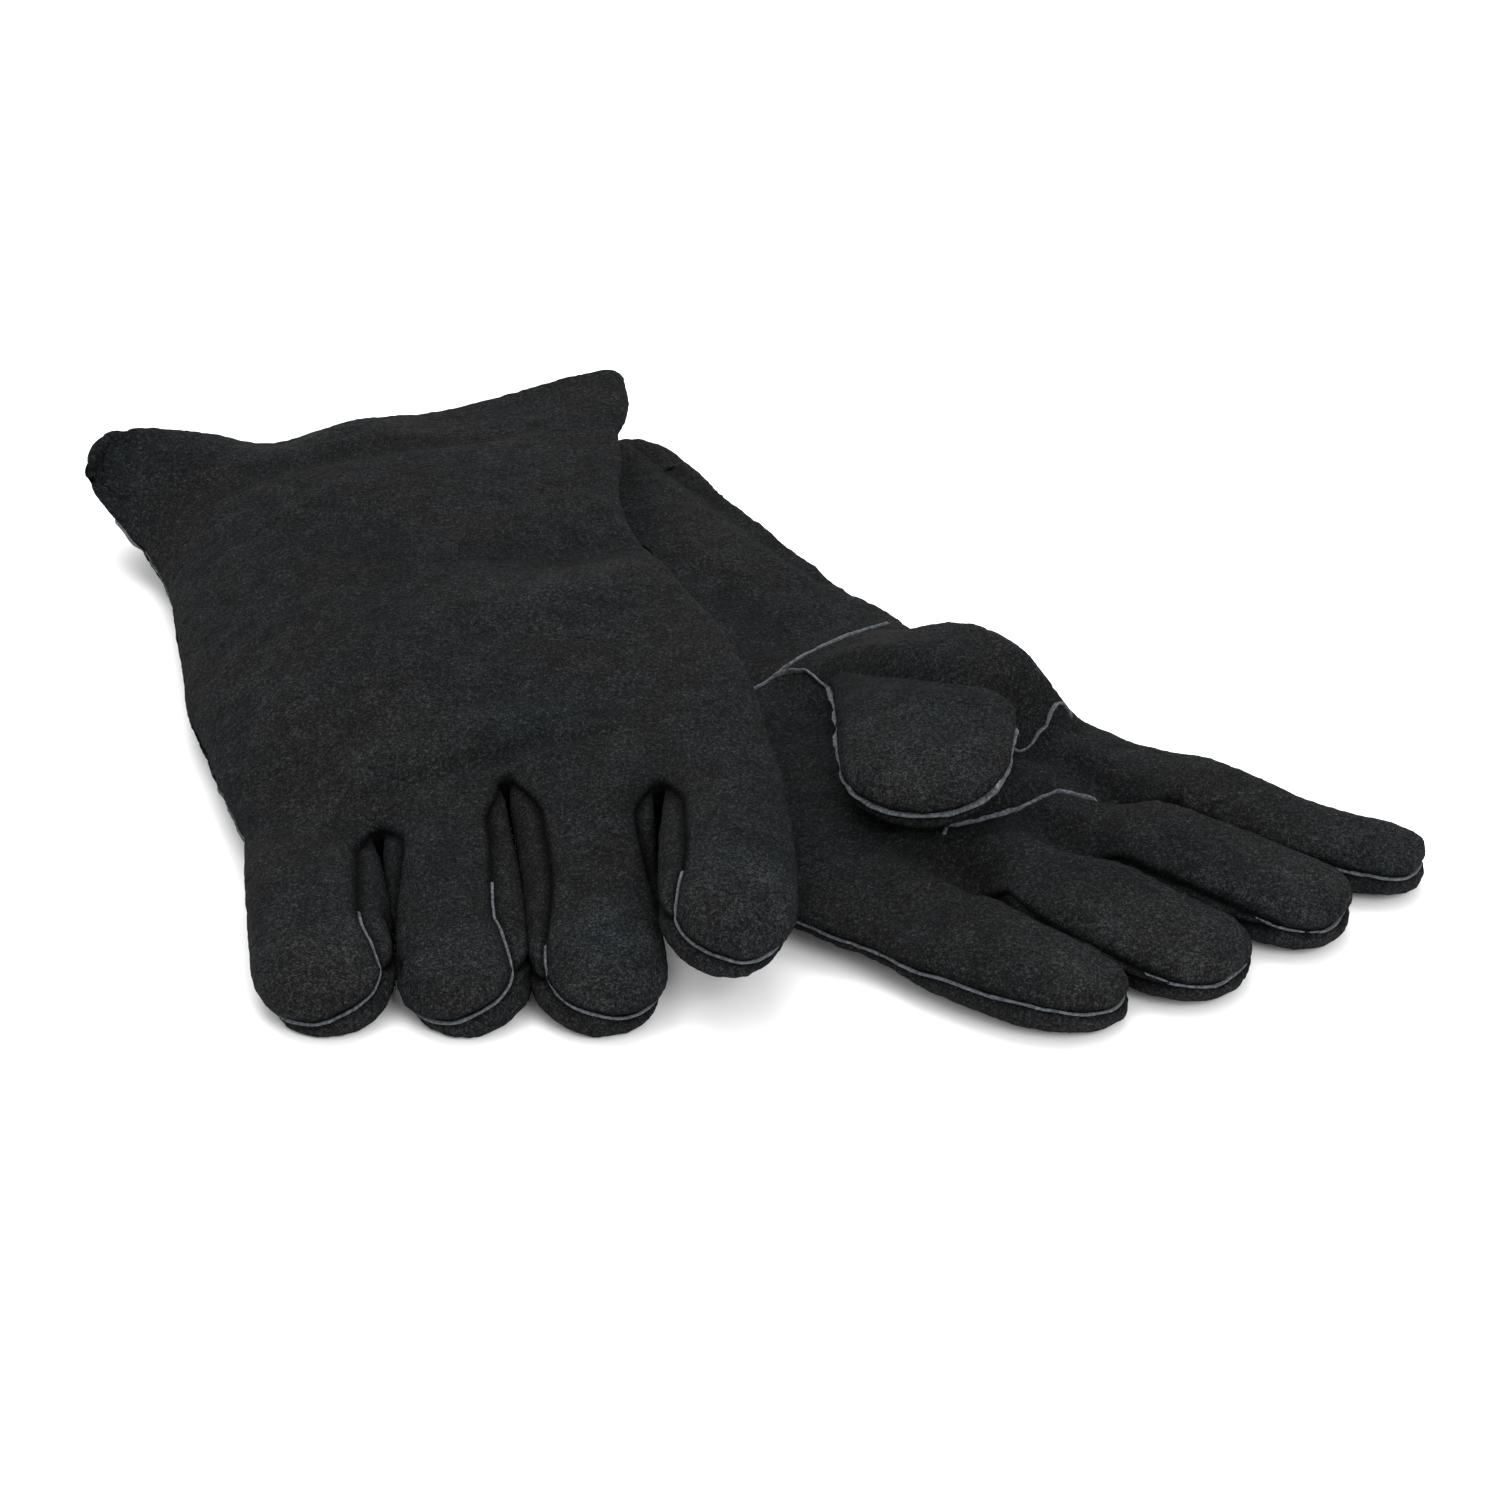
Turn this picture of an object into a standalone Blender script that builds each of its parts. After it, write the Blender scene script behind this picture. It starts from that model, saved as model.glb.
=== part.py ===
"""A pair of heat resistant gauntlets in split leather, one lying across the other.

The lower glove lies palm up and the upper glove palm down over its cuff. Every
tube of a glove (hand and cuff, finger, thumb) is a row of flattened sections.
The leather panels are patches of those tubes, given their thickness inwards,
and the linings are smaller tubes inside them. Layout numbers are millimetres.
"""
import math

import bmesh
import bpy
from mathutils import Matrix, Vector

MM = 0.001
CENTRE = Vector((-10.9, -19.9, 1.0))    # middle of the pair's box, moved to the origin

FLOOR = 1.0             # height of the surface that the pair lies on, before CENTRE is taken away
LEATHER = 2.4           # split leather with its backing
SEAM_GAP = 0.9          # between the edges of two panels sewn together
PLY_GAP = 1.0           # between the leather and the lining inside it
LINING = 1.6
WELT_RADIUS = 1.1       # leather piping sewn into a seam
WELT_CLEAR = 0.45       # from a panel's face to the piping
ROOT_GAP = 1.0          # between the hand panels and the finger stalls
FINGER_SPACE = 1.3      # half the space between two finger roots
SECTION_POWER = 2.3     # squareness of a hand section
ROOT_POWER = 4.0        # squareness of a finger where it leaves the hand
TIP_POWER = 2.3
TIP_CLOSE = 0.06        # share of the full width left at a closed tip
TIP_ROWS = 5            # rows that round a tip
THINNING = 0.6          # power of a tip's width that its height follows
THIN = 0.4              # least half height of a section
GAP_STEP = 0.25         # degrees by which the edge of a seam's gap is found, and at most
GAP_REACH = 60.0
SHARP_ANGLE = 50.0      # edges turning more than this are drawn sharp, degrees
WALL_ANGLE = 26.0       # reach of a fourchette from the middle of a finger's side, degrees
WRIST_SEAM = 0.02       # half the space at the cuff seam, in section steps
HAND_LINING_SHORT = 0.05    # how far the hand lining ends before the knuckles, in section steps
CUFF_LINING_START = 0.18    # how far the cuff lining starts inside the mouth
SIDE_WELT_SHORT = 0.1       # how far the side piping ends before the panels
CUFF_WELT_START = 12.0      # angles of the cuff seam's piping: where it starts and what it spans
CUFF_WELT_SWEEP = 156.0
HAND_COLUMNS = 10           # flat strips across a hand panel, a finger's, a thumb's and a fourchette
FINGER_COLUMNS = 6
THUMB_COLUMNS = 8
WALL_COLUMNS = 2
TUBE_COLUMNS = 16           # flat strips round a lining
THUMB_TUBE_COLUMNS = 14
HINGE_CLEAR = 1.0       # from a finger's highest point to its hinge line
PIVOT_SIZE = 10.0       # drawn size of the empties
FINGER_NAMES = ("index", "middle", "ring", "little")
HAND_PIECES = ("back", "palm", "cuff", "hand", "side", "thumb_wing")

# A section is (left xyz, right xyz, top rise, bottom fall, lift, skew, bow, power, floor).
# Left is the little finger's side. Lift and skew raise the middle of the section,
# bow moves it towards the cuff, and nothing goes below its floor.
UPPER = {
    "name": "upper",
    "palm_up": False,
    "hand": (
        (-225, 118, 40, -45, 161, 41, 8, 10, -20, 12, 7, SECTION_POWER, FLOOR),
        (-203, 80, 14, -39, 118, 41, 10, 8, 5, -6, 6, SECTION_POWER, FLOOR),
        (-187, 30, 10, -36, 58, 41, 12, 7, 8, -12, 0, SECTION_POWER, FLOOR),
        (-178, -18, 10, -15, 6, 41, 13, 7, 8, -11, 0, SECTION_POWER, FLOOR),
        (-167, -62, 11, 0, -50, 42, 13, 7, 6, -8, 0, SECTION_POWER, FLOOR),
        (-153, -110, 12, 9, -106, 38, 12, 9, 2, 0, 12, SECTION_POWER, FLOOR),
    ),
    "wrist": 2.1,
    "splits": (0.0, 0.262, 0.52, 0.765, 1.0),
    "fingers": {
        "index": ((-7.6, -144, 32.2, 17, 11), (-6.5, -172, 29.2, 17, 11), (-6, -199, 25, 17.2, 9)),
        "middle": ((-46.8, -140, 21.5, 16, 11), (-45.1, -173, 14.2, 15.8, 11), (-43.5, -204, 11, 16, 9)),
        "ring": ((-86, -142, 17, 16.2, 11), (-82.5, -173, 12.7, 15.7, 10.5), (-81.6, -203, 10, 15.7, 9)),
        "little": ((-126, -144, 13, 18.3, 11), (-122.5, -173, 12, 18.3, 10.5), (-119.4, -202, 10, 18.3, 9)),
    },
    "thumb": ((-17, -37, 25, 17, 5.2), (-26, -52, 24.5, 18, 5.2), (-40, -76, 22.8, 17, 5.2)),
    "wing": ((-19, -4, 28.5, 14, 5.5), (-19, -14, 28, 16, 5.5), (-19.5, -26, 27, 16, 5.5)),
}
LOWER = {
    "name": "lower",
    "palm_up": True,
    "hand": (
        (-170, 46, 8.5, -37, 167, 12, 7, 10.5, 0, 0, 4, SECTION_POWER, FLOOR),
        (-130, -8, 8.5, 1, 113, 12, 7, 10.5, 0, 0, 0, SECTION_POWER, FLOOR),
        (-90, -62, 8.5, 32, 54, 12, 7, 10.5, 0, 0, 0, SECTION_POWER, FLOOR),
        (-48, -104, 8.5, 62, 8, 13, 7, 11, 0, 0, 0, SECTION_POWER, FLOOR),
        (-1, -142, 9, 93, -30, 15, 8.5, 12.5, 0, 0, 0, SECTION_POWER, FLOOR),
        (33, -167, 9, 121, -55, 15, 9, 12.5, 0, 0, 4, SECTION_POWER, FLOOR),
    ),
    "wrist": 2.62,
    "splits": (0.0, 0.24, 0.475, 0.725, 1.0),
    "fingers": {
        "index": ((139, -89, 13, 14.5, 10), (167, -107, 11.5, 14.5, 10), (200, -120, 10, 13.2, 8)),
        "middle": ((119, -118, 12, 14.5, 10), (147, -136, 11, 14.5, 9), (175, -149, 9.5, 13.5, 8)),
        "ring": ((93.5, -149, 12, 14.5, 10), (118.5, -165.5, 10.5, 13.6, 9), (143, -178, 8.5, 11.5, 7)),
        "little": ((66, -176, 10.5, 14.5, 9), (86, -187.5, 9, 12.5, 8), (107.5, -192, 8, 11, 7)),
    },
    "thumb": ((60, -75, 43, 24, 11), (55, -97, 42, 25, 12), (49.5, -133, 36.5, 23, 9)),
    "wing": ((78, -28, 31, 15, 7), (70, -46, 38, 21, 9), (62.5, -67, 43, 23, 10)),
}


def spline(rows, place):
    """Catmull-Rom value between rows of numbers, at 0 to len(rows) - 1."""
    last = len(rows) - 1
    place = min(max(place, 0.0), last)
    index = min(int(place), last - 1)
    f = place - index
    before = rows[index - 1] if index > 0 else [2 * a - b for a, b in zip(rows[0], rows[1])]
    after = (rows[index + 2] if index < last - 1
             else [2 * a - b for a, b in zip(rows[last], rows[last - 1])])
    return [0.5 * (2 * b + (c - a) * f + (2 * a - 5 * b + 4 * c - d) * f ** 2
                   + (3 * b - a - 3 * c + d) * f ** 3)
            for a, b, c, d in zip(before, rows[index], rows[index + 1], after)]


def signed_power(value, power):
    return math.copysign(abs(value) ** power, value)


def around(section, angle):
    """Point of a section at an angle: 0 right, 90 top, 180 left, 270 bottom."""
    lx, ly, lz, rx, ry, rz, top, bottom, lift, skew, bow, power, floor = section
    left, right = Vector((lx, ly, lz)), Vector((rx, ry, rz))
    across = (right - left).normalized()
    back = Vector((-across.y, across.x, 0.0)).normalized()
    angle = math.radians(angle)
    u = signed_power(math.cos(angle), 2.0 / power)
    v = signed_power(math.sin(angle), 2.0 / power)
    crown = 1.0 - u * u
    rise = top if v > 0 else bottom
    point = (left + right) / 2 + (right - left) * (u / 2)
    point += Vector((0, 0, v * rise + (lift + skew * u) * crown)) + back * (bow * crown)
    point.z = max(point.z, floor)
    return point


def inset_section(section, inset):
    """The section of a tube that lies inside this one, or outside it below zero."""
    left, right = Vector(section[0:3]), Vector(section[3:6])
    across = (right - left).normalized()
    left, right = left + across * inset, right - across * inset
    top, bottom = max(section[6] - inset, THIN), max(section[7] - inset, THIN)
    return (*left, *right, top, bottom, *section[8:12], section[12] + inset)


def middle_of(section):
    return (Vector(section[0:3]) + Vector(section[3:6])) / 2


def half_width(section):
    return (Vector(section[3:6]) - Vector(section[0:3])).length / 2


def across_section(centre, width, rise, direction, power):
    """Section of a finger or thumb, square to its direction."""
    side = Vector((-direction.y, direction.x, 0.0)).normalized() * width
    left, right = centre - side, centre + side
    return (*left, *right, rise, rise, 0.0, 0.0, 0.0, power, FLOOR)


def stalled(sections, inset=0.0, steps=2):
    """Rows of sections along a stall, closed by a round tip at the last section."""
    sections = [inset_section(section, inset) for section in sections]
    before, tip = middle_of(sections[-2]), middle_of(sections[-1])
    back = (before - tip).normalized() * inset
    tip_section = list(sections[-1])
    for i, value in enumerate((*back, *back)):
        tip_section[i] += value
    width = half_width(tip_section)
    body_end = len(sections) - 2
    rows = [spline(sections, i / steps) for i in range(steps * body_end + 1)]
    start = rows[-1]
    length = (middle_of(tip_section) - middle_of(start)).length
    for i in range(1, TIP_ROWS + 1):
        f = math.sin(math.pi / 2 * i / TIP_ROWS)
        row = [a + (b - a) * f for a, b in zip(start, tip_section)]
        closing = max(1 - length * (1 - f) / width, 0.0)
        rows.append(narrowed(row, math.sqrt(max(1 - closing ** 2, TIP_CLOSE ** 2))))
    return rows


def narrowed(section, share):
    middle = middle_of(section)
    left, right = [middle + (Vector(section[k:k + 3]) - middle) * share for k in (0, 3)]
    thin = share ** THINNING
    return (*left, *right, section[6] * thin, section[7] * thin, *section[8:])


def material(name, colour, roughness):
    made = bpy.data.materials.get(name) or bpy.data.materials.new(name)
    made.use_nodes = True
    shader = made.node_tree.nodes["Principled BSDF"]
    shader.inputs["Base Color"].default_value = (*colour, 1.0)
    shader.inputs["Roughness"].default_value = roughness
    shader.inputs["Metallic"].default_value = 0.0
    return made


def new_object(name, mesh, kind, collection):
    thing = bpy.data.objects.new(name, mesh)
    thing.data.materials.append(MATERIALS[kind])
    collection.objects.link(thing)


def placed(point):
    return (point - CENTRE) * MM


def shell(name, outer, inner, kind, collection, closed=False):
    """Solid between an outer and an inner grid of points, a panel or an open tube."""
    mesh = bmesh.new()
    skins = [[[mesh.verts.new(placed(point)) for point in row] for row in grid]
             for grid in (outer, inner)]
    last_row, columns = len(outer) - 1, len(outer[0])
    faces = []
    for i in range(last_row):
        for j in range(columns if closed else columns - 1):
            k = (j + 1) % columns
            for skin, turn in zip(skins, (1, -1)):
                faces.append((skin[i][j], skin[i][k], skin[i + 1][k], skin[i + 1][j])[::turn])
    out, into = skins
    for j in range(columns if closed else columns - 1):
        k = (j + 1) % columns
        faces.append((out[0][k], out[0][j], into[0][j], into[0][k]))
        faces.append((out[last_row][j], out[last_row][k], into[last_row][k], into[last_row][j]))
    if not closed:
        for i in range(last_row):
            for j, turn in ((0, 1), (columns - 1, -1)):
                faces.append((out[i][j], out[i + 1][j], into[i + 1][j], into[i][j])[::turn])
    for corners in faces:
        mesh.faces.new(corners)
    if mesh.calc_volume(signed=True) < 0:
        bmesh.ops.reverse_faces(mesh, faces=mesh.faces)
    data = bpy.data.meshes.new(name)
    mesh.to_mesh(data)
    mesh.free()
    data.shade_smooth()
    data.set_sharp_from_angle(angle=math.radians(SHARP_ANGLE))
    new_object(name, data, kind, collection)


def strip_of(rows, angles, columns):
    grid = []
    for index, row in enumerate(rows):
        first, last = angles(row, index)
        grid.append([around(row, first + (last - first) * j / columns) for j in range(columns + 1)])
    return grid


def patch(name, outer_rows, inner_rows, angles, columns, kind, collection):
    """Panel over part of a tube: angles gives the first and last angle of a row."""
    shell(name, strip_of(outer_rows, angles, columns), strip_of(inner_rows, angles, columns),
          kind, collection)


def open_tube(name, outer_rows, inner_rows, kind, collection, columns=TUBE_COLUMNS):
    grids = [[[around(row, 360.0 * j / columns) for j in range(columns)] for row in rows]
             for rows in (outer_rows, inner_rows)]
    shell(name, *grids, kind, collection, closed=True)


def welt(name, points, collection):
    """Leather piping along a seam: a round bar with filled ends."""
    curve = bpy.data.curves.new(name, "CURVE")
    curve.dimensions = "3D"
    curve.bevel_depth = WELT_RADIUS * MM
    curve.bevel_resolution = 1
    curve.use_fill_caps = True
    line = curve.splines.new("POLY")
    line.points.add(len(points) - 1)
    for spot, point in zip(line.points, points):
        spot.co = (*placed(point), 1.0)
    new_object(name, curve, "welt", collection)


def gap_angle(row, angle, gap=SEAM_GAP / 2):
    """Degrees past an angle at which a section has gone a gap's length round."""
    start, step = around(row, angle), 0.0
    while step < GAP_REACH and (around(row, angle + step) - start).length < gap:
        step += GAP_STEP
    return step


def halves(upside):
    """Angles of the panel over the upper or lower half of a tube."""
    def angles(row, index):
        gap = gap_angle(row, 0.0)
        return (gap, 180 - gap) if upside else (180 + gap, 360 - gap)
    return angles


def hand_rows(glove, first, last, steps, inset=0.0):
    return [inset_section(spline(glove["hand"], first + (last - first) * i / steps), inset)
            for i in range(steps + 1)]


def finger_sections(glove, number):
    """Sections of one finger: its root on the end of the hand, then its stations."""
    end = glove["hand"][-1]
    stations = glove["fingers"][FINGER_NAMES[number]]
    right_share, left_share = glove["splits"][number], glove["splits"][number + 1]
    edges = []
    for share in (left_share, right_share):
        angle = math.degrees(math.acos(signed_power(1 - 2 * share, end[11] / 2.0)))
        edges.append((around(end, angle) + around(end, -angle)) / 2)
    left, right = edges
    centre = (left + right) / 2
    crown = (1 - abs(1 - left_share - right_share) ** end[11]) ** (1 / end[11])
    side = (right - left).normalized()
    ahead = Vector((side.y, -side.x, 0.0)).normalized() * ROOT_GAP
    left = left + ahead + side * (FINGER_SPACE if number < 3 else 0.0)
    right = right + ahead - side * (FINGER_SPACE if number > 0 else 0.0)
    sections = [(*left, *right, end[6] * crown, end[7] * crown, 0.0, 0.0, 0.0, ROOT_POWER, FLOOR)]
    spots = [centre] + [Vector(station[0:3]) for station in stations]
    for i, (x, y, z, width, rise) in enumerate(stations):
        direction = spots[min(i + 2, len(spots) - 1)] - spots[i]
        sections.append(across_section(Vector((x, y, z)), width, rise, direction, TIP_POWER))
    return sections


def thumb_sections(stations):
    spots = [Vector(station[0:3]) for station in stations]
    last = len(spots) - 1
    return [across_section(spots[i], width, rise, spots[min(i + 1, last)] - spots[max(i - 1, 0)],
                           TIP_POWER)
            for i, (x, y, z, width, rise) in enumerate(stations)]


def hinge_line(section):
    """A point above the middle of a stall's root, and the line across the root."""
    left, right = Vector(section[0:3]), Vector(section[3:6])
    middle = (left + right) / 2
    top = max(around(section, angle).z for angle in range(0, 181, 10))
    across = Vector((right.x - left.x, right.y - left.y, 0.0)).normalized()
    return placed(Vector((middle.x, middle.y, top + HINGE_CLEAR))), across


def pivot(name, spot, across, collection, carrier=None):
    """Empty on a joint's axis, with its X axis along the joint's, for the pieces that it moves."""
    empty = bpy.data.objects.new(name, None)
    empty.empty_display_size = PIVOT_SIZE * MM
    collection.objects.link(empty)
    turn = across.to_track_quat("X", "Z").to_matrix().to_4x4()
    empty.matrix_world = Matrix.Translation(spot) @ turn
    if carrier:
        carry([empty], carrier)
    return empty


def carry(pieces, empty):
    """The pieces move with the empty, and stay where they are."""
    bpy.context.view_layer.update()
    for piece in pieces:
        piece.parent = empty
        piece.matrix_parent_inverse = empty.matrix_world.inverted()


def edge_welt(name, rows, collection):
    """Piping round a stall's tip: out along the left edge, round, and back on the right."""
    path = [around(row, 180) for row in rows] + [around(row, 0) for row in rows[::-1]]
    welt(name, path, collection)


def build_finger(glove, number, collection):
    finger = "%s_%s" % (glove["name"], FINGER_NAMES[number])
    sections = finger_sections(glove, number)
    outer, inner = stalled(sections), stalled(sections, LEATHER)
    wall_end = len(outer) - TIP_ROWS
    walled = {0: number > 0, 180: number < 3}

    def wall(row, index, middle):
        """Angle from the middle of a side to the edge of its wall, tapering out at the tip."""
        fade = max(1.0 - index / wall_end, 0.0)
        gap = gap_angle(row, 0.0)
        return max(WALL_ANGLE * fade ** 0.5, gap) if walled[middle] else gap

    def panel(upside):
        def angles(row, index):
            right, left = wall(row, index, 0), wall(row, index, 180)
            return (right, 180 - left) if upside else (180 + left, 360 - right)
        return angles

    front_up = glove["palm_up"]
    patch(finger + "_front", outer, inner, panel(front_up), FINGER_COLUMNS, "palm_leather", collection)
    patch(finger + "_back", outer, inner, panel(not front_up), FINGER_COLUMNS, "leather", collection)
    for middle, side in ((0, "index_side"), (180, "little_side")):
        if not walled[middle]:
            continue

        def strip(row, index, centre=middle):
            edge = wall(row, index, centre)
            reach = max(edge - gap_angle(row, edge, SEAM_GAP), 0.5)
            return centre - reach, centre + reach
        count = wall_end - 1
        patch("%s_fourchette_%s" % (finger, side), outer[:count], inner[:count], strip,
              WALL_COLUMNS, "fourchette_leather", collection)
    piping = stalled(sections, -(WELT_RADIUS + WELT_CLEAR))
    edge_welt(finger + "_tip_welt", piping[wall_end:], collection)


def build_thumb(glove, collection):
    name = glove["name"] + "_thumb"
    sections = thumb_sections(glove["thumb"])
    outer, inner = stalled(sections), stalled(sections, LEATHER)
    front_up = not glove["palm_up"]
    patch(name + "_front", outer, inner, halves(front_up), THUMB_COLUMNS, "palm_leather", collection)
    patch(name + "_back", outer, inner, halves(not front_up), THUMB_COLUMNS, "leather", collection)
    outer = stalled(sections, LEATHER + PLY_GAP)[1:-2]
    inner = stalled(sections, LEATHER + PLY_GAP + LINING)[1:-2]
    open_tube(name + "_lining", outer, inner, "fleece", collection, THUMB_TUBE_COLUMNS)
    edge_welt(name + "_welt", stalled(sections, -(WELT_RADIUS + WELT_CLEAR))[1:], collection)
    wing = thumb_sections(glove["wing"])
    rows = [[inset_section(spline(wing, i / 2.0), inset) for i in range(2 * len(wing) - 1)]
            for inset in (0.0, LEATHER)]
    open_tube(name + "_wing", *rows, "leather", collection)


def build_hand(glove, collection):
    name, last, wrist = glove["name"], len(glove["hand"]) - 1, glove["wrist"]
    palm_up = glove["palm_up"]
    panels = (("back_panel", 0.0, last, 12, not palm_up, "leather"),
              ("palm_panel", wrist + WRIST_SEAM, last, 9, palm_up, "palm_leather"),
              ("cuff_front", 0.0, wrist - WRIST_SEAM, 6, palm_up, "leather"))
    for panel, first, end, steps, upside, kind in panels:
        rows = [hand_rows(glove, first, end, steps, inset) for inset in (0.0, LEATHER)]
        patch("%s_%s" % (name, panel), *rows, halves(upside), HAND_COLUMNS, kind, collection)
    linings = (("hand_lining", wrist + 2 * WRIST_SEAM, last - HAND_LINING_SHORT, 9, "fleece"),
               ("cuff_lining", CUFF_LINING_START, wrist - 2 * WRIST_SEAM, 6, "cotton"))
    for lining, first, end, steps, kind in linings:
        rows = [hand_rows(glove, first, end, steps, LEATHER + PLY_GAP + more)
                for more in (0.0, LINING)]
        open_tube("%s_%s" % (name, lining), *rows, kind, collection)
    proud = -(WELT_RADIUS + WELT_CLEAR)
    edge = hand_rows(glove, SIDE_WELT_SHORT, last - SIDE_WELT_SHORT, 14, proud)
    welt(name + "_side_welt", [around(row, 180) for row in edge], collection)
    seam = inset_section(spline(glove["hand"], wrist), proud)
    first = CUFF_WELT_START if palm_up else CUFF_WELT_START + 180
    angles = [first + CUFF_WELT_SWEEP * i / 12 for i in range(13)]
    welt(name + "_cuff_welt", [around(seam, angle) for angle in angles], collection)


def build_glove(glove):
    """One glove: its hand moves as a whole, and each stall turns about an empty at its root."""
    name = glove["name"]
    collection = bpy.data.collections.new(name + "_glove")
    PAIR.children.link(collection)
    build_hand(glove, collection)
    for number in range(len(FINGER_NAMES)):
        build_finger(glove, number, collection)
    build_thumb(glove, collection)
    pieces = list(collection.objects)
    wrist = placed(middle_of(spline(glove["hand"], glove["wrist"])))
    hand = pivot(name + "_hand_pivot", wrist, Vector((1, 0, 0)), collection)
    starts = tuple("%s_%s" % (name, start) for start in HAND_PIECES)
    carry([piece for piece in pieces if piece.name.startswith(starts)], hand)
    roots = {finger: finger_sections(glove, number)[0] for number, finger in enumerate(FINGER_NAMES)}
    roots["thumb"] = thumb_sections(glove["thumb"])[0]
    for stall, root in roots.items():
        spot, across = hinge_line(root)
        own = pivot("%s_%s_pivot" % (name, stall), spot, across, collection, hand)
        carry([piece for piece in pieces
               if piece.parent is None and piece.name.startswith("%s_%s" % (name, stall))], own)


for old in list(bpy.data.objects):
    bpy.data.objects.remove(old, do_unlink=True)
PAIR = bpy.data.collections.new("heat_resistant_gloves")
bpy.context.scene.collection.children.link(PAIR)
MATERIALS = {
    "leather": material("leather", (0.020, 0.023, 0.025), 0.92),
    "palm_leather": material("palm_leather", (0.020, 0.023, 0.025), 0.92),
    "fourchette_leather": material("fourchette_leather", (0.016, 0.018, 0.020), 0.94),
    "welt": material("welt", (0.075, 0.085, 0.095), 0.7),
    "fleece": material("fleece", (0.16, 0.16, 0.155), 1.0),
    "cotton": material("cotton", (0.12, 0.12, 0.12), 0.95),
}
build_glove(LOWER)
build_glove(UPPER)
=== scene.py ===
"""Looks of a pair of heat resistant gauntlets in split suede leather.

Each glove is one skin of quads in millimetres: a closed tube for hand and cuff that
forks into four finger tubes. The skin is smoothed, creased and given its seams, and is
then parted along the seams into the leather pieces that the CAD names. The thumb, the
linings and the welts are their own meshes.
"""
import math

import bpy
import numpy as np
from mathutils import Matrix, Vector
from mathutils.kdtree import KDTree


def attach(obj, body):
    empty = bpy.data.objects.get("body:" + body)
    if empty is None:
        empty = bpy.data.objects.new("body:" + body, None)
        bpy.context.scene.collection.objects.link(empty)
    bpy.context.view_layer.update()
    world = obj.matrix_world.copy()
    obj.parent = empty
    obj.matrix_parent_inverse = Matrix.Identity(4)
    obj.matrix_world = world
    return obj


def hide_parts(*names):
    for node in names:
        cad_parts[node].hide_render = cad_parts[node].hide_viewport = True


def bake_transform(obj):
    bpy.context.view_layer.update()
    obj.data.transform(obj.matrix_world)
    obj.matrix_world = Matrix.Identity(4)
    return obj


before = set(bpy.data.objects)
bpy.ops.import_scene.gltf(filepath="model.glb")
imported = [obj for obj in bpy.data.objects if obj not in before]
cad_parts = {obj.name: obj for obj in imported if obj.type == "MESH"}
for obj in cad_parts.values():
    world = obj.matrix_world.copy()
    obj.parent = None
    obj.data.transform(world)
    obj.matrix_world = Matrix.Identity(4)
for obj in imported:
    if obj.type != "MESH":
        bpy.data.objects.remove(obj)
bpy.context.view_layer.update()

MM = 0.001
CENTRE = np.array((-10.9, -19.9, 1.0))  # layout point that the frame's origin is at
FLOOR = 1.0             # layout height of the surface that the pair lies on
STEP = 1.15             # spacing of the skin's vertices
WALL_COLUMNS = 8        # quads across a fourchette
LEATHER = 1.76          # thickness of the leather in this model
THUMB_LEATHER = 1.6     # and of the thumbs
HEM = 26.0              # depth of the cuff's turned-in edge
HEM_THICK = 3.4         # two layers of leather at the mouth
HEM_SINK = 1.8          # further that the hem's free edge lies inside
SQUARE = 2.3            # squareness of a hand section
ROLL = ((0, 0.25, 0.62, 0.82, 1), (0, 0.2, 1, 1, 0.5))    # share of a finger's roll, along its length
WALL_TAPER = 0.84       # share of a finger's length at which its fourchettes end
PAINTED_RELIEF_HIGHLIGHT = 0.22       # how much lighter the painted highlight makes the leather where it stands a millimetre higher
RELIEF_LIMIT = 3.0      # height above which the painted highlight gets no lighter
CUFF_WELT_END = 47.0    # x beyond which the lower glove's cuff welt stays inside its seam
WELT_DROP = 0.8         # a welt lies against the lower side of its groove
SEAM_FADE = 18          # rows past the hem over which the side seams sink into their grooves
SEAM_SHADE = 1.8        # distance from a seam over which shade is painted into the leather's colour
SEAM_SINK = 12.0        # added to the distance from a seam next to the hem, so that its groove fades in
ROOT_GAP = 0.3          # how far a finger's root stays inside its slice of the hand, next to another
ROOT_SQUARE = 3.0       # squareness of a finger's root
NARROWING = 5.0         # length over which a finger's root narrows
GROOVES = ((1.4, 1.4), (0.8, 4.5))          # depth and width of the two hollows along a seam
PUCKER_REACH = 7.0      # distance from a seam over which the leather is puckered
NAP = ((0.26, 3.1), (0.24, 1.6))            # height and size of the nap's two grains
BEND = 26.0             # length over which the leather at a finger's root bends
BEND_SIGHT = 40.0       # distance ahead of the root at which a finger's direction is taken
LINING = 1.3            # thickness of the hand's and the cuff's lining
LINING_GAP = 0.04       # how far from the wrist seam each lining ends, in sections
HAND_LINING_SHORT = 0.45                    # how far before the knuckles the fleece ends, in sections
CUFF_LINING_START = 0.24                    # place where the cotton starts, in sections
WELD = 0.01             # vertices closer than this are one

FINGERS = ("index", "middle", "ring", "little")

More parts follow.
